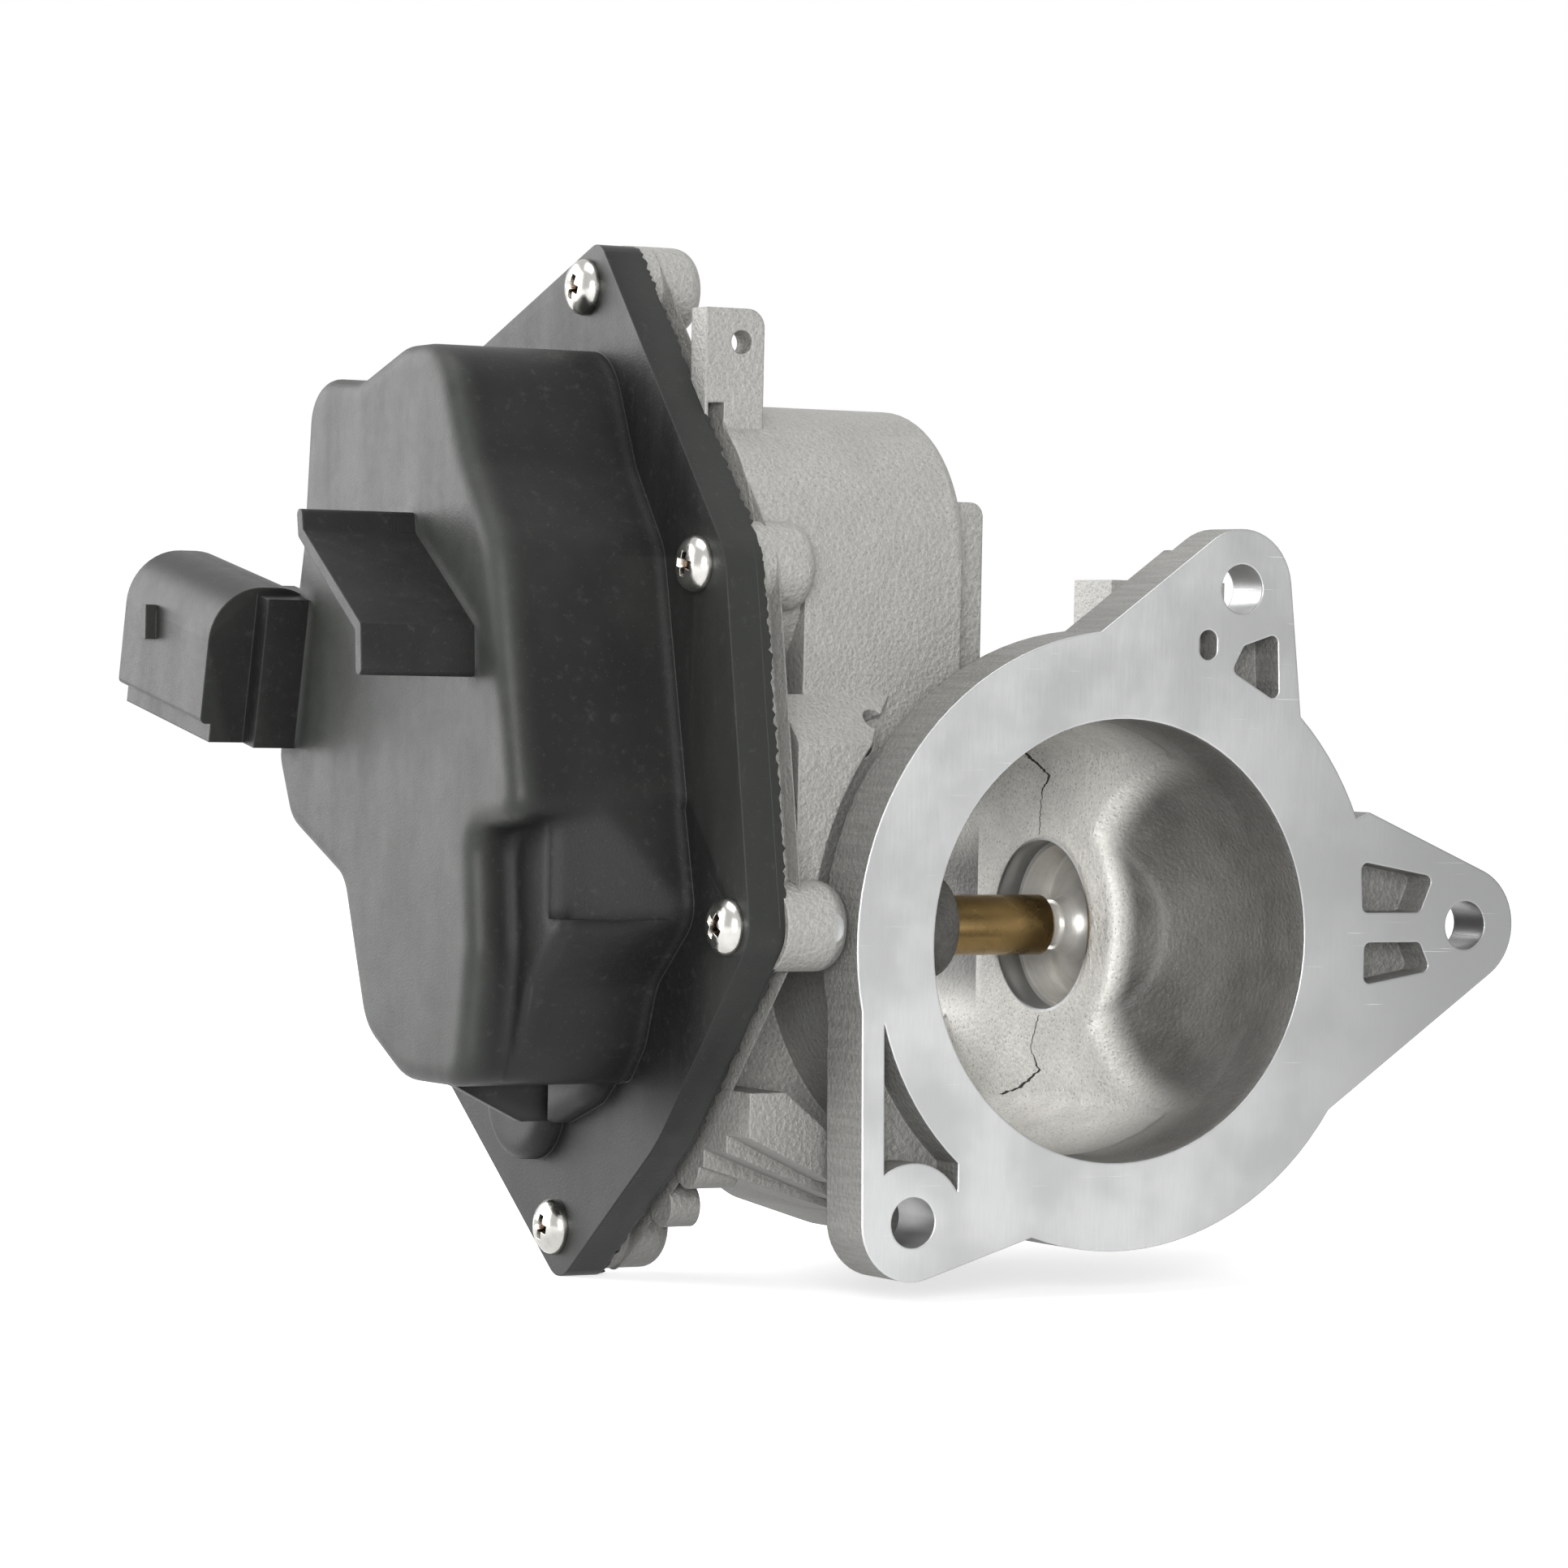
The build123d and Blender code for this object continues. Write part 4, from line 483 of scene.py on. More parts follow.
def casting_material():
    """Sand-blasted casting with milled faces, a darker flange rim and a stained air duct, with painted
    light on the wall round the valve port and painted shade in the bowl, low down and towards the flange's
    right ear.
    """
    sheet = NodeSheet("cast_aluminium")
    x, y, z = sheet.axes()
    grain = sheet.noise(CAST_GRAIN * MM, 2.0, 0.6)
    pits = sheet.cells(CAST_PITS * MM)
    mottle = sheet.noise(CAST_MOTTLE * MM, 4.0, 0.6)
    in_duct = sheet.sum("MULTIPLY", sheet.near_axis(x, z, 0.0, 0.0, DUCT_RADIUS * MM, 0.4 * MM),
                        sheet.fade(y, (0.2, 2.0)))
    duct_patches = sheet.fit(sheet.noise(DUCT_PATCHES * MM, 3.0, 0.6), 0.3, 0.7, 0.7, 1.0)
    cast = sheet.blend(sheet.sum("MULTIPLY", in_duct, duct_patches), cast_tone(sheet, x, y, z, grain, mottle),
                       duct_tone(sheet, x, y, z, grain, mottle))
    cast = sheet.blend(sheet.fit(pits, 0.24, 0.12, 0.0, 0.5), cast, shade(colours().casting, 0.5))
    specks = sheet.fit(sheet.cells(CAST_SPECKS * MM), 0.10, 0.06)
    cast = sheet.blend(sheet.sum("MULTIPLY", specks, 0.3), cast, SPECK_COLOUR)
    milled = milled_share(sheet, x, y, z)
    fine = sheet.noise(1.0, 5.0, 0.7, sheet.stretch((2500, 2500, 200), (0, math.radians(24), 0)))
    cross = sheet.noise(1.0, 4.0, 0.7, sheet.stretch((3000, 3000, 160), (0, math.radians(-61), 0)))
    nicks = sheet.sum("MAXIMUM", scratches(sheet, 35, 0.70), scratches(sheet, -52, 0.71))
    colour = sheet.blend(milled, cast, milled_tone(sheet, x, fine, nicks))
    rough = sheet.blend_value(milled, sheet.fit(grain, 0.2, 0.8, 0.48, 0.66),
                              sheet.fit(cross, 0.3, 0.7, 0.30, 0.42))
    relief = sheet.sum("ADD", grain, sheet.sum("MULTIPLY", pits, 0.8))
    edge = sheet.blend_value(in_duct, CAST_EDGE * MM, DUCT_EDGE * MM)
    blasted = sheet.sum("SUBTRACT", 1.0, milled)
    normal = sheet.bump(relief, CAST_RELIEF * MM, sheet.round_edges(edge), blasted)
    marks = sheet.sum("SUBTRACT", sheet.sum("ADD", fine, cross), sheet.sum("MULTIPLY", nicks, 2.0))
    normal = sheet.bump(marks, MILLED_RELIEF * MM, normal, milled)
    metal = sheet.blend_value(milled, sheet.blend_value(in_duct, 0.3, 0.05), 0.9)
    return sheet.finish(colour, metal, rough, normal)


def moulding_material(name):
    """Black glass-filled plastic: fine grain, flow streaks, specks, rubbed edges, and a dome top lightened
    partly by dust and partly by painted sheen.
    """
    sheet = NodeSheet(name)
    base = colours().moulding
    grain = sheet.noise(MOULDED_GRAIN * MM, 3.0, 0.6)
    flow = sheet.noise(1.0, 4.0, 0.6, sheet.stretch((60, 130, 30)))
    dust = sheet.noise(MOULDED_DUST * MM, 5.0, 0.7)
    tone = sheet.blend(sheet.fit(flow, 0.35, 0.75), shade(base, 0.85), shade(base, 1.45))
    tone = sheet.blend(sheet.fit(dust, 0.55, 0.75, 0.0, 0.6), tone, shade(base, 3.6))
    specks = sheet.cells(MOULDED_SPECKS * MM)
    tone = sheet.blend(sheet.fit(specks, 0.10, 0.05, 0.0, 0.5), tone, shade(base, 7.0))
    x = sheet.axes()[0]
    below_top = sheet.fade(x, (DOME_TOP_X - 0.3, DOME_TOP_X - 0.1))
    # Dust and painted sheen: the dome's top face, which catches the side lamp, is lightened in patches
    crown = sheet.sum("MULTIPLY", below_top, sheet.fade(x, (DOME_TOP_X + 5.0, DOME_TOP_X + 0.1)))
    dust_and_sheen = sheet.fit(sheet.noise(MOULDED_DUST_AND_SHEEN * MM, 5.0, 0.65), 0.3, 0.7, 0.55, 0.85)
    tone = sheet.blend(sheet.sum("MULTIPLY", crown, dust_and_sheen), tone, shade(base, 4.2))
    worn = sheet.tree.nodes.new("ShaderNodeNewGeometry").outputs["Pointiness"]
    tone = sheet.blend(sheet.fit(worn, 0.53, 0.60, 0.0, 0.35), tone, shade(base, 4.0))
    rough = sheet.sum("ADD", sheet.fit(flow, 0.3, 0.8, 0.40, 0.50), sheet.fit(dust, 0.4, 0.8, 0.0, 0.06))
    on_dome = sheet.sum("MULTIPLY", sheet.fade(x, (COVER_FACE_X - 0.1, COVER_FACE_X - 1.5)), below_top)
    edge = sheet.blend_value(on_dome, MOULDED_EDGE * MM, sizes().dome_blend)
    normal = sheet.bump(grain, MOULDED_RELIEF * MM, sheet.round_edges(edge))
    return sheet.finish(tone, 0.0, rough, normal, Specular_IOR_Level=0.21)


def turned_metal(name, colour, rough, groove=0.12 * MM, depth=0.006 * MM, metal=1.0):
    """Metal turned on a lathe about the X axis: fine rings along it and faint staining."""
    sheet = NodeSheet(name)
    rings = sheet.tree.nodes.new("ShaderNodeTexNoise")
    rings.noise_dimensions = "1D"
    rings.inputs["Scale"].default_value = 1 / groove
    sheet.link(sheet.axes()[0], rings.inputs["W"])
    ring = rings.outputs["Fac"]
    cloud = sheet.noise(3.5 * MM, 3.0, 0.6)
    tone = sheet.blend(sheet.fit(cloud, 0.35, 0.75), colour, shade(colour, 0.85))
    tone = sheet.blend(sheet.fit(ring, 0.3, 0.7, 0.0, 0.3), tone, shade(colour, 1.15))
    normal = sheet.bump(ring, depth, sheet.round_edges(FINE_EDGE * MM))
    return sheet.finish(tone, metal, sheet.fit(cloud, 0.3, 0.8, rough, rough + 0.1), normal)


def plain_finish(name, colour, metal, rough, size=0.8 * MM, depth=0.02 * MM):
    """Finish with a fine grain in its tone, roughness and relief."""
    sheet = NodeSheet(name)
    grain = sheet.noise(size, 4.0, 0.6)
    cloud = sheet.noise(size * 12, 2.0, 0.5)
    tone = sheet.blend(sheet.fit(grain, 0.3, 0.7), shade(colour, 0.88), shade(colour, 1.1))
    tone = sheet.blend(sheet.fit(cloud, 0.4, 0.8, 0.0, 0.4), tone, shade(colour, 0.8))
    normal = sheet.bump(grain, depth, sheet.round_edges(FINE_EDGE * MM))
    return sheet.finish(tone, metal, sheet.fit(cloud, 0.3, 0.8, rough, rough + 0.12), normal)


def merged_copy(node, name):
    """Copy of a CAD node's mesh with its loose triangles joined."""
    mesh = NODES[node].data.copy()
    mesh.name = name
    if "custom_normal" in mesh.attributes:
        mesh.attributes.remove(mesh.attributes["custom_normal"])
    form = bmesh.new()
    form.from_mesh(mesh)
    bmesh.ops.remove_doubles(form, verts=form.verts, dist=MERGE_GAP * MM)
    form.to_mesh(mesh)
    form.free()
    return mesh


def add_piece(mesh, name, body, slot_name, *replaced):
    piece = bpy.data.objects.new(name, mesh)
    bpy.context.scene.collection.objects.link(piece)
    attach(piece, body)
    if replaced:
        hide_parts(*replaced)
    return piece


def smooth_by_angle(mesh, angle):
    mesh.shade_smooth()
    mesh.set_sharp_from_angle(angle=math.radians(angle))


def baked(piece):
    """Mesh of a piece with its modifiers applied; the modifiers are then dropped."""
    graph = bpy.context.evaluated_depsgraph_get()
    mesh = bpy.data.meshes.new_from_object(piece.evaluated_get(graph))
    old = piece.data
    piece.modifiers.clear()
    piece.data = mesh
    bpy.data.meshes.remove(old)
    return mesh


def boolean(piece, cutter):
    """Cut another object out of a piece, and drop that object."""
    cut = piece.modifiers.new("cut", "BOOLEAN")
    cut.object = cutter
    cut.operation = "DIFFERENCE"
    cut.solver = "EXACT"
    cut.use_self = True
    mesh = baked(piece)
    bpy.data.objects.remove(cutter)
    return mesh


def helper(form, name):
    """Object that only helps to shape another one."""
    made = bpy.data.objects.new(name, mesh_of(form, name))
    bpy.context.scene.collection.objects.link(made)
    return made


def points_of(made):
    """The vertices in what an operator made."""
    return [part for part in made if isinstance(part, bmesh.types.BMVert)]


def resize_about(form, points, middle, share):
    """Resize an outline across X about its middle."""
    bmesh.ops.scale(form, verts=points, vec=(1, share, share), space=Matrix.Translation(-middle))


def cover_edge(cut_x):
    """The cover's outline at a place along X, as one closed loop of edges, and the gear plate's middle."""
    form = bmesh.new()
    source = merged_copy("cover", "edge_source")
    form.from_mesh(source)
    bpy.data.meshes.remove(source)
    bmesh.ops.bisect_plane(form, geom=form.verts[:] + form.edges[:] + form.faces[:],
                           plane_co=(cut_x, 0, 0), plane_no=(1, 0, 0), clear_outer=True, clear_inner=True)
    middle = Vector((cut_x, PLATE_MIDDLE[0] * MM, PLATE_MIDDLE[1] * MM))
    outer = max(form.verts, key=lambda v: (v.co - middle).length)
    loop = {outer}
    front = [outer]
    while front:
        for edge in front.pop().link_edges:
            for other in edge.verts:
                if other not in loop:
                    loop.add(other)
                    front.append(other)
    bmesh.ops.delete(form, geom=[v for v in form.verts if v not in loop], context="VERTS")
    return form, middle


def rim_recess():
    """Cutter that sets the gear plate's edge back behind a thin lip next to the cover."""
    low = (SEAL_FACE_X + PLATE_LIP) * MM
    form, middle = cover_edge(COVER_EDGE_X * MM)
    bmesh.ops.translate(form, verts=form.verts, vec=(low - middle.x, 0, 0))
    resize_about(form, form.verts, middle, RIM_CUTTER_SHARE)
    inner = points_of(bmesh.ops.extrude_edge_only(form, edges=form.edges[:])["geom"])
    resize_about(form, inner, middle, sizes().rim_share)
    rear = points_of(bmesh.ops.extrude_face_region(form, geom=form.faces[:])["geom"])
    bmesh.ops.translate(form, verts=rear, vec=(PLATE_RECESS * MM, 0, 0))
    bmesh.ops.recalc_face_normals(form, faces=form.faces)
    cutter = helper(form, "rim_recess")
    bosses = bmesh.new()
    for y, z in SCREW_PLACES:
        made = bmesh.ops.create_cone(bosses, cap_ends=True, segments=48, radius1=BOSS_RADIUS * MM,
                                     radius2=BOSS_RADIUS * MM, depth=BOSS_LENGTH * MM)["verts"]
        bmesh.ops.rotate(bosses, verts=made, cent=(0, 0, 0), matrix=Matrix.Rotation(math.pi / 2, 3, "Y"))
        bmesh.ops.translate(bosses, verts=made, vec=(low, y * MM, z * MM))
    boolean(cutter, helper(bosses, "bosses"))
    return cutter


class VALVE_OT_casting(bpy.types.Operator):
    """Dress the cast body: rim of the gear plate, blasted grain and milled faces"""
    bl_idname = "valve.casting"
    bl_label = "Cast body"

    def execute(self, context):
        mesh = merged_copy("valve_body", "cast_body")
        piece = add_piece(mesh, "cast_body", "housing", "cast_aluminium", "valve_body")
        mesh = boolean(piece, rim_recess())
        smooth_by_angle(mesh, CAST_SHARP)
        weight = piece.modifiers.new("weighted", "WEIGHTED_NORMAL")
        weight.keep_sharp = True
        weight.weight = 100
        baked(piece)
        paint(piece, casting_material())
        return {"FINISHED"}


class VALVE_OT_seam_shadow(bpy.types.Operator):
    """Make a thin near-black strip along the ragged core seam on the wall round the valve port: painted
    shadow of the seam's step
    """
    bl_idname = "valve.seam"
    bl_label = "Core seam"

    def execute(self, context):
        chance = random.Random(5)
        form = bmesh.new()
        for line in SEAM_LINES:
            ends = [form.verts.new(((PORT_FACE_X - 0.02) * MM, y * MM, z * MM)) for y, z in line]
            for pair in zip(ends, ends[1:]):
                form.edges.new(pair)
        for _ in range(3):
            bmesh.ops.subdivide_edges(form, edges=form.edges[:], cuts=1)
        for vert in form.verts:
            vert.co.y += chance.uniform(-SEAM_SWAY_Y, SEAM_SWAY_Y) * MM
            vert.co.z += chance.uniform(-SEAM_SWAY_Z, SEAM_SWAY_Z) * MM
        for vert in points_of(bmesh.ops.extrude_edge_only(form, edges=form.edges[:])["geom"]):
            reach = min(1.0, max(0.05, (abs(vert.co.z) / MM - SEAM_WIDENS_FROM) / SEAM_WIDENS_OVER))
            vert.co.y += (SEAM_HAIRLINE + reach * chance.uniform(0.7, 1.0)) * MM
        piece = add_piece(mesh_of(form, "core_seam"), "core_seam", "housing", "cast_aluminium")
        thick = piece.modifiers.new("thick", "SOLIDIFY")
        thick.thickness = SEAM_THICK * MM
        thick.offset = 0
        baked(piece)
        # Painted shadow: the strip's near-black colour stands in for the shade in the seam's step
        paint(piece, plain_finish("seam_shadow", SEAM_SHADOW_COLOUR, 0.1, 0.8))
        return {"FINISHED"}


class VALVE_OT_cover(bpy.types.Operator):
    """Finish the moulded cover"""
    bl_idname = "valve.cover"
    bl_label = "Moulded cover"

    def execute(self, context):
        paint(NODES["cover"], moulding_material("black_moulding"))
        return {"FINISHED"}


def screw_form(turn):
    """One pan-head screw along +X, with the plane under its head at the origin."""
    size = sizes()
    form = bmesh.new()
    profile = [(-size.screw_height * high, size.screw_radius * wide) for high, wide in HEAD_PROFILE]
    profile += [(0.0, SHANK_RADIUS * MM), (size.screw_shank, SHANK_RADIUS * MM), (size.screw_shank, 0.0)]
    points = [form.verts.new((x, 0, r)) for x, r in profile]
    edges = [form.edges.new(pair) for pair in zip(points, points[1:])]
    bmesh.ops.spin(form, geom=points + edges, cent=(0, 0, 0), axis=(1, 0, 0), angle=2 * math.pi,
                   steps=40, use_merge=True)
    bmesh.ops.remove_doubles(form, verts=form.verts, dist=0.005 * MM)
    bmesh.ops.recalc_face_normals(form, faces=form.faces)
    bmesh.ops.rotate(form, verts=form.verts, cent=(0, 0, 0), matrix=Matrix.Rotation(turn, 3, "X"))
    return form


def recess_form(turn):
    """Cutter of the cross recess: two wings that narrow with depth."""
    size = sizes()
    form = bmesh.new()
    for wing in (0, math.radians(90)):
        made = bmesh.ops.create_cube(form, size=1.0)["verts"]
        bmesh.ops.scale(form, verts=made, vec=(RECESS_LENGTH * MM, size.recess_width, size.recess_span))
        bmesh.ops.translate(form, verts=made, vec=(-size.screw_height * RECESS_START, 0, 0))
        inner = [v for v in made if v.co.x > -size.screw_height]
        bmesh.ops.scale(form, verts=inner, vec=RECESS_TAPER)
        bmesh.ops.rotate(form, verts=made, cent=(0, 0, 0), matrix=Matrix.Rotation(wing, 3, "X"))
    bmesh.ops.rotate(form, verts=form.verts, cent=(0, 0, 0), matrix=Matrix.Rotation(turn, 3, "X"))
    return form


def mesh_of(form, name):
    mesh = bpy.data.meshes.new(name)
    form.to_mesh(mesh)
    form.free()
    return mesh


class VALVE_OT_screws(bpy.types.Operator):
    """Make the six cover screws with their cross recesses"""
    bl_idname = "valve.screws"
    bl_label = "Cover screws"

    def execute(self, context):
        chance = random.Random(4)
        whole = bmesh.new()
        for y, z in SCREW_PLACES:
            turn = chance.uniform(0, math.pi / 2)
            screw = helper(screw_form(turn), "screw")
            mesh = boolean(screw, helper(recess_form(turn), "recess"))
            mesh.transform(Matrix.Translation((COVER_FACE_X * MM, y * MM, z * MM)))
            whole.from_mesh(mesh)
            bpy.data.objects.remove(screw)
        mesh = mesh_of(whole, "pan_screws")
        smooth_by_angle(mesh, SCREW_SHARP)
        piece = add_piece(mesh, "pan_screws", "housing", "screw_steel", "cover_screws")
        paint(piece, screw_material())
        return {"FINISHED"}


def screw_material():
    """Bright plated steel, dark brown down in the recess: grime and painted shade."""
    sheet = NodeSheet("plated_screw")
    base = colours().screw
    x, y, z = sheet.axes()
    cloud = sheet.noise(1.2 * MM, 3.0, 0.6)
    deep = sheet.fade(x, (COVER_FACE_X - 2.1, COVER_FACE_X - 1.5))
    middle = None
    for place_y, place_z in SCREW_PLACES:
        spot = sheet.near_axis(y, z, place_y * MM, place_z * MM, 2.2 * MM, 0.3 * MM)
        middle = spot if middle is None else sheet.sum("MAXIMUM", middle, spot)
    # Grime and painted shade: dark brown at the bottom of the cross recess
    dirt_and_shade = sheet.sum("MULTIPLY", deep, middle)
    tone = sheet.blend(sheet.fit(cloud, 0.35, 0.75), base, shade(base, 0.86))
    tone = sheet.blend(dirt_and_shade, tone, RECESS_DIRT_AND_SHADE)
    normal = sheet.bump(cloud, 0.012 * MM, sheet.round_edges(0.12 * MM))
    return sheet.finish(tone, 1.0, sheet.fit(cloud, 0.3, 0.8, 0.16, 0.30), normal)


class VALVE_OT_flash(bpy.types.Operator):
    """Make the ragged flash along the cover's rear edge"""
    bl_idname = "valve.flash"
    bl_label = "Moulding flash"

    def execute(self, context):
        chance = random.Random(11)
        form, middle = cover_edge(COVER_EDGE_X * MM)
        for _ in range(9):
            long_edges = [e for e in form.edges if e.calc_length() > FLASH_STEP * MM]
            if long_edges:
                bmesh.ops.subdivide_edges(form, edges=long_edges, cuts=1)
        resize_about(form, form.verts, middle, FLASH_SHARE)
        rim = points_of(bmesh.ops.extrude_edge_only(form, edges=form.edges[:])["geom"])
        reach = sizes().flash_reach
        gap = 0.0
        for vert in rim:
            gap = chance.choice((gap, gap, chance.uniform(0.0, 1.0)))
            vert.co.x += FLASH_START * MM + reach * gap * chance.uniform(0.4, 1.0)
        piece = add_piece(mesh_of(form, "cover_flash"), "cover_flash", "housing", "black_plastic")
        thick = piece.modifiers.new("thick", "SOLIDIFY")
        thick.thickness = FLASH_THICK * MM
        thick.offset = 0
        baked(piece)
        paint(piece, moulding_material("flash_moulding"))
        return {"FINISHED"}


class VALVE_OT_valve(bpy.types.Operator):
    """Finish the valve: guide, stem, poppet, seat and the stem's small parts"""
    bl_idname = "valve.valve"
    bl_label = "Valve"

    def execute(self, context):
        look = colours()
        steel = turned_metal("valve_steel", look.steel, 0.32, groove=0.5 * MM, depth=0.012 * MM, metal=0.6)
        dark = plain_finish("drive_steel", shade(look.steel, 0.8), 1.0, 0.28)
        plated = plain_finish("pressed_steel", (0.46, 0.45, 0.43), 1.0, 0.34, 1.2 * MM)
        rubber = plain_finish("seal_rubber", (0.02, 0.02, 0.02), 0.0, 0.55)
        paint_nodes(turned_metal("guide_brass", look.brass, 0.24), "stem_guide")
        paint_nodes(steel, "valve_stem", "valve_head", "valve_seat")
        paint_nodes(dark, "cross_pin", "rollers", "guide_sleeve", "gear_pin")
        paint_nodes(plated, "chamber_plug", "spring_cup", "thrust_washer", "connector_pins")
        paint_nodes(rubber, "stem_seal", "cover_seal")
        return {"FINISHED"}


class VALVE_OT_spring(bpy.types.Operator):
    """Make the return spring as a smooth-shaded copy of the CAD spring; on the real valve it shortens as
    the stem opens the valve
    """
    bl_idname = "valve.spring"
    bl_label = "Return spring"

    def execute(self, context):
        mesh = merged_copy("return_spring", "closing_spring")
        smooth_by_angle(mesh, SPRING_SHARP)
        piece = add_piece(mesh, "closing_spring", "housing", "spring_steel", "return_spring")
        paint(piece, plain_finish("spring_wire", (0.3, 0.3, 0.31), 1.0, 0.3))
        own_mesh(piece)
        return {"FINISHED"}


class VALVE_OT_drive(bpy.types.Operator):
    """Finish the motor, the gears and the position sensor"""
    bl_idname = "valve.drive"
    bl_label = "Motor and gears"

    def execute(self, context):
        look = colours()
        gear = plain_finish("gear_plastic", look.gear, 0.0, 0.42, 0.6 * MM)
        can = plain_finish("motor_can_steel", (0.55, 0.55, 0.54), 1.0, 0.3, 1.0 * MM)
        sheets = turned_metal("rotor_sheets", (0.25, 0.25, 0.26), 0.4, groove=0.5 * MM, depth=0.03 * MM)
        bronze = plain_finish("sintered_bronze", (0.35, 0.23, 0.11), 1.0, 0.45, 0.3 * MM)
        ferrite = plain_finish("ferrite", (0.05, 0.05, 0.052), 0.1, 0.6, 0.4 * MM)
        paint_nodes(gear, "output_gear", "intermediate_gear")
        paint_nodes(can, "motor_can", "motor_end_plate")
        paint_nodes(plain_finish("small_screw_steel", (0.5, 0.49, 0.47), 1.0, 0.25), "motor_screws")
        paint_nodes(sheets, "motor_rotor")
        paint_nodes(turned_metal("shaft_steel", look.steel, 0.18), "motor_shaft")
        paint_nodes(turned_metal("pinion_brass", look.brass, 0.28), "motor_pinion")
        paint_nodes(turned_metal("commutator_copper", (0.6, 0.3, 0.17), 0.3), "commutator")
        paint_nodes(bronze, "motor_bushes", "gear_bush")
        paint_nodes(ferrite, "motor_magnets", "sensor_magnet")
        paint_nodes(plain_finish("board_green", (0.02, 0.12, 0.05), 0.0, 0.35), "sensor_board")
        paint_nodes(plain_finish("wave_spring_steel", (0.4, 0.4, 0.4), 1.0, 0.25), "wave_spring")
        return {"FINISHED"}


def add_lamp(name, power, size, place):
    lamp = bpy.data.lights.new(name, "AREA")
    lamp.shape = "RECTANGLE"
    lamp.size, lamp.size_y = size
    lamp.energy = power
    lamp_object = bpy.data.objects.new(name, lamp)
    lamp_object.location = place
    lamp_object.rotation_euler = (Vector(LAMP_TARGET) - Vector(place)).to_track_quat("-Z", "Y").to_euler()
    bpy.context.scene.collection.objects.link(lamp_object)


def add_camera():
    studio = bpy.context.scene.valve_studio
    turn, tilt, roll = studio.camera_turn, studio.camera_tilt, studio.camera_roll
    ahead = Vector((math.sin(turn) * math.cos(tilt), math.cos(turn) * math.cos(tilt), -math.sin(tilt)))
    right = Vector((math.cos(turn), -math.sin(turn), 0))
    up = right.cross(ahead)
    tilted_right = right * math.cos(roll) + up * math.sin(roll)
    tilted_up = up * math.cos(roll) - right * math.sin(roll)
    camera = bpy.data.cameras.new("photo_camera")
    camera.lens = studio.lens
    camera.sensor_width = 36
    camera.clip_end = 50
    camera_object = bpy.data.objects.new("photo_camera", camera)
    basis = Matrix((tilted_right, tilted_up, -ahead)).transposed().to_4x4()
    camera_object.matrix_world = Matrix.Translation(studio.camera_place) @ basis
    bpy.context.scene.collection.objects.link(camera_object)
    bpy.context.scene.camera = camera_object


def seen_share(tree):
    """1 where the camera or a reflection sees, 0 for the light that falls on things."""
    path = tree.nodes.new("ShaderNodeLightPath")
    seen = path.outputs["Is Camera Ray"]
    for name in ("Is Glossy Ray", "Is Transmission Ray"):
        either = tree.nodes.new("ShaderNodeMath")
        either.operation = "MAXIMUM"
        tree.links.new(seen, either.inputs[0])
        tree.links.new(path.outputs[name], either.inputs[1])
        seen = either.outputs[0]
    return seen


def add_world():
    studio = bpy.context.scene.valve_studio
    world = bpy.data.worlds.new("white_room")
    world.use_nodes = True
    bpy.context.scene.world = world
    tree = world.node_tree
    sky = tree.nodes["Background"]
    sky.inputs["Color"].default_value = WHITE
    sky.inputs["Strength"].default_value = studio.sky
    white = tree.nodes.new("ShaderNodeBackground")
    white.inputs["Color"].default_value = WHITE
    mix = tree.nodes.new("ShaderNodeMixShader")
    tree.links.new(seen_share(tree), mix.inputs["Fac"])
    tree.links.new(sky.outputs[0], mix.inputs[1])
    tree.links.new(white.outputs[0], mix.inputs[2])
    tree.links.new(mix.outputs[0], tree.nodes["World Output"].inputs["Surface"])


def floor_material():
    """White table: darker for the light it throws back, lifted to plain white where it is seen."""
    sheet = NodeSheet("white_table")
    tree = sheet.tree
    tree.nodes.remove(sheet.shader)
    seen = seen_share(tree)
    paper = tree.nodes.new("ShaderNodeBsdfDiffuse")
    sheet.put(paper.inputs["Color"], sheet.blend(seen, TABLE_THROWS, TABLE_SHOWS))
    lift = tree.nodes.new("ShaderNodeEmission")
    sheet.put(lift.inputs["Strength"], sheet.sum("MULTIPLY", seen, TABLE_GLOW))
    both = tree.nodes.new("ShaderNodeAddShader")
    sheet.link(paper.outputs[0], both.inputs[0])
    sheet.link(lift.outputs[0], both.inputs[1])
    sheet.link(both.outputs[0], tree.nodes["Material Output"].inputs["Surface"])
    return sheet.material


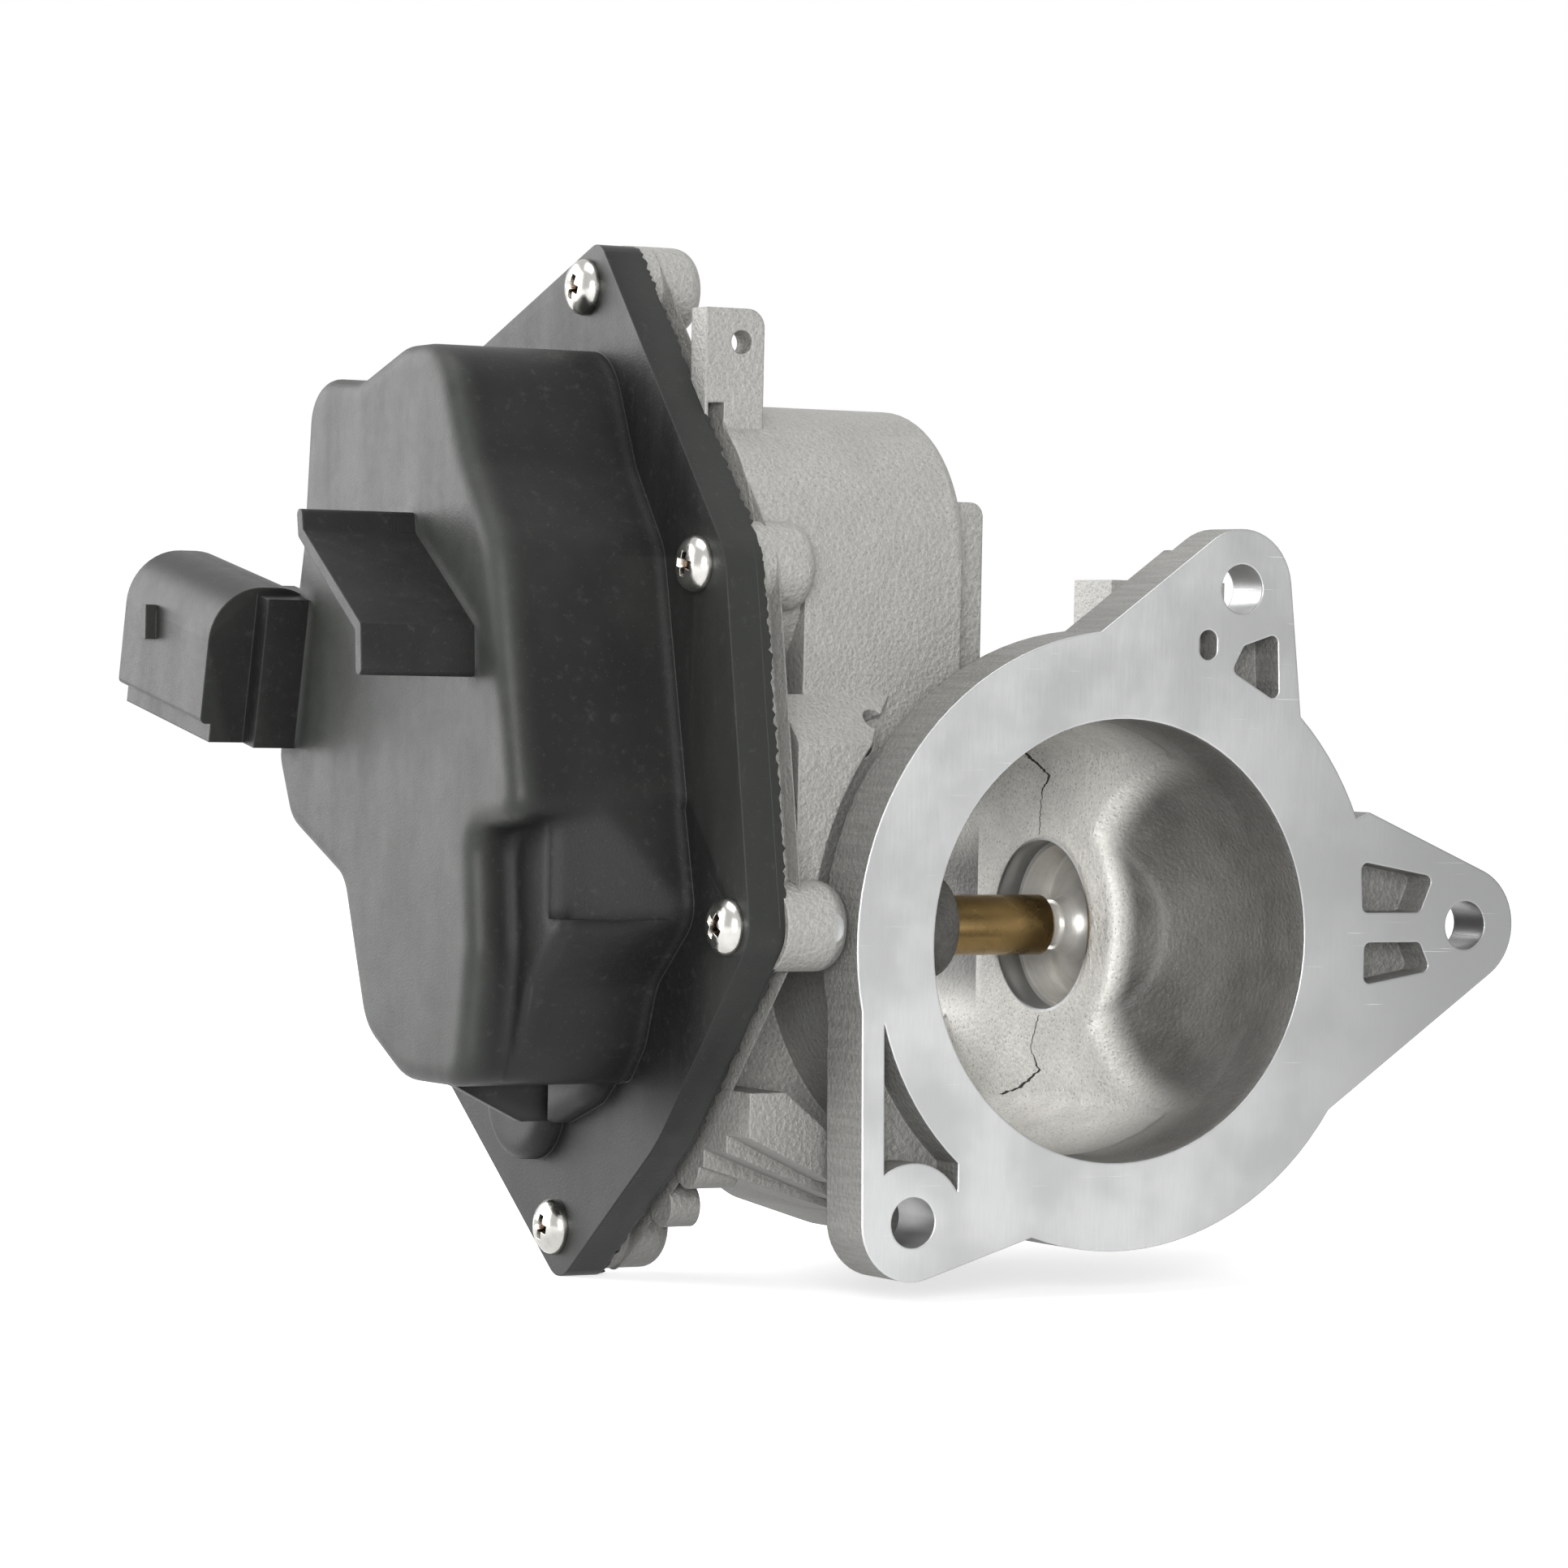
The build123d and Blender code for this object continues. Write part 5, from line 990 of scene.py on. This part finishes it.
class VALVE_OT_studio(bpy.types.Operator):
    """Set up the white table, the lamps and the camera"""
    bl_idname = "valve.studio"
    bl_label = "Studio"

    def execute(self, context):
        studio = context.scene.valve_studio
        floor_z = CAD_BOX[0][2]
        form = bmesh.new()
        bmesh.ops.create_circle(form, cap_ends=True, segments=64, radius=TABLE_RADIUS)
        bmesh.ops.translate(form, verts=form.verts, vec=(0, 0, floor_z))
        table = bpy.data.objects.new("white_table", mesh_of(form, "white_table"))
        context.scene.collection.objects.link(table)
        paint(table, floor_material())
        add_world()
        for name, power, size, place in LAMPS:
            add_lamp(name, getattr(studio, power), size, place)
        add_camera()
        context.scene.view_settings.view_transform = "Standard"
        return {"FINISHED"}


class VALVE_PT_panel(bpy.types.Panel):
    """Lists the valve's settings and steps in the sidebar"""
    bl_idname = "VALVE_PT_panel"
    bl_label = "EGR valve"
    bl_space_type = "VIEW_3D"
    bl_region_type = "UI"
    bl_category = "EGR valve"

    def draw(self, context):
        scene = context.scene
        for group in (scene.valve_sizes, scene.valve_colours, scene.valve_studio):
            column = self.layout.column()
            for name in group.__annotations__:
                column.prop(group, name)
        for step in STEPS:
            self.layout.operator(step.bl_idname)


STEPS = (
    VALVE_OT_casting,
    VALVE_OT_seam_shadow,
    VALVE_OT_cover,
    VALVE_OT_screws,
    VALVE_OT_flash,
    VALVE_OT_valve,
    VALVE_OT_spring,
    VALVE_OT_drive,
    VALVE_OT_studio,
)
CLASSES = (ValveSizes, ValveColours, StudioSettings, *STEPS, VALVE_PT_panel)


def register():
    for made in CLASSES:
        bpy.utils.register_class(made)
    bpy.types.Scene.valve_sizes = PointerProperty(type=ValveSizes)
    bpy.types.Scene.valve_colours = PointerProperty(type=ValveColours)
    bpy.types.Scene.valve_studio = PointerProperty(type=StudioSettings)


def unregister():
    del bpy.types.Scene.valve_sizes
    del bpy.types.Scene.valve_colours
    del bpy.types.Scene.valve_studio
    for made in reversed(CLASSES):
        bpy.utils.unregister_class(made)


def main():
    register()
    for step in STEPS:
        group, name = step.bl_idname.split(".")
        getattr(getattr(bpy.ops, group), name)()
    bpy.context.view_layer.update()


if __name__ == "__main__":
    main()
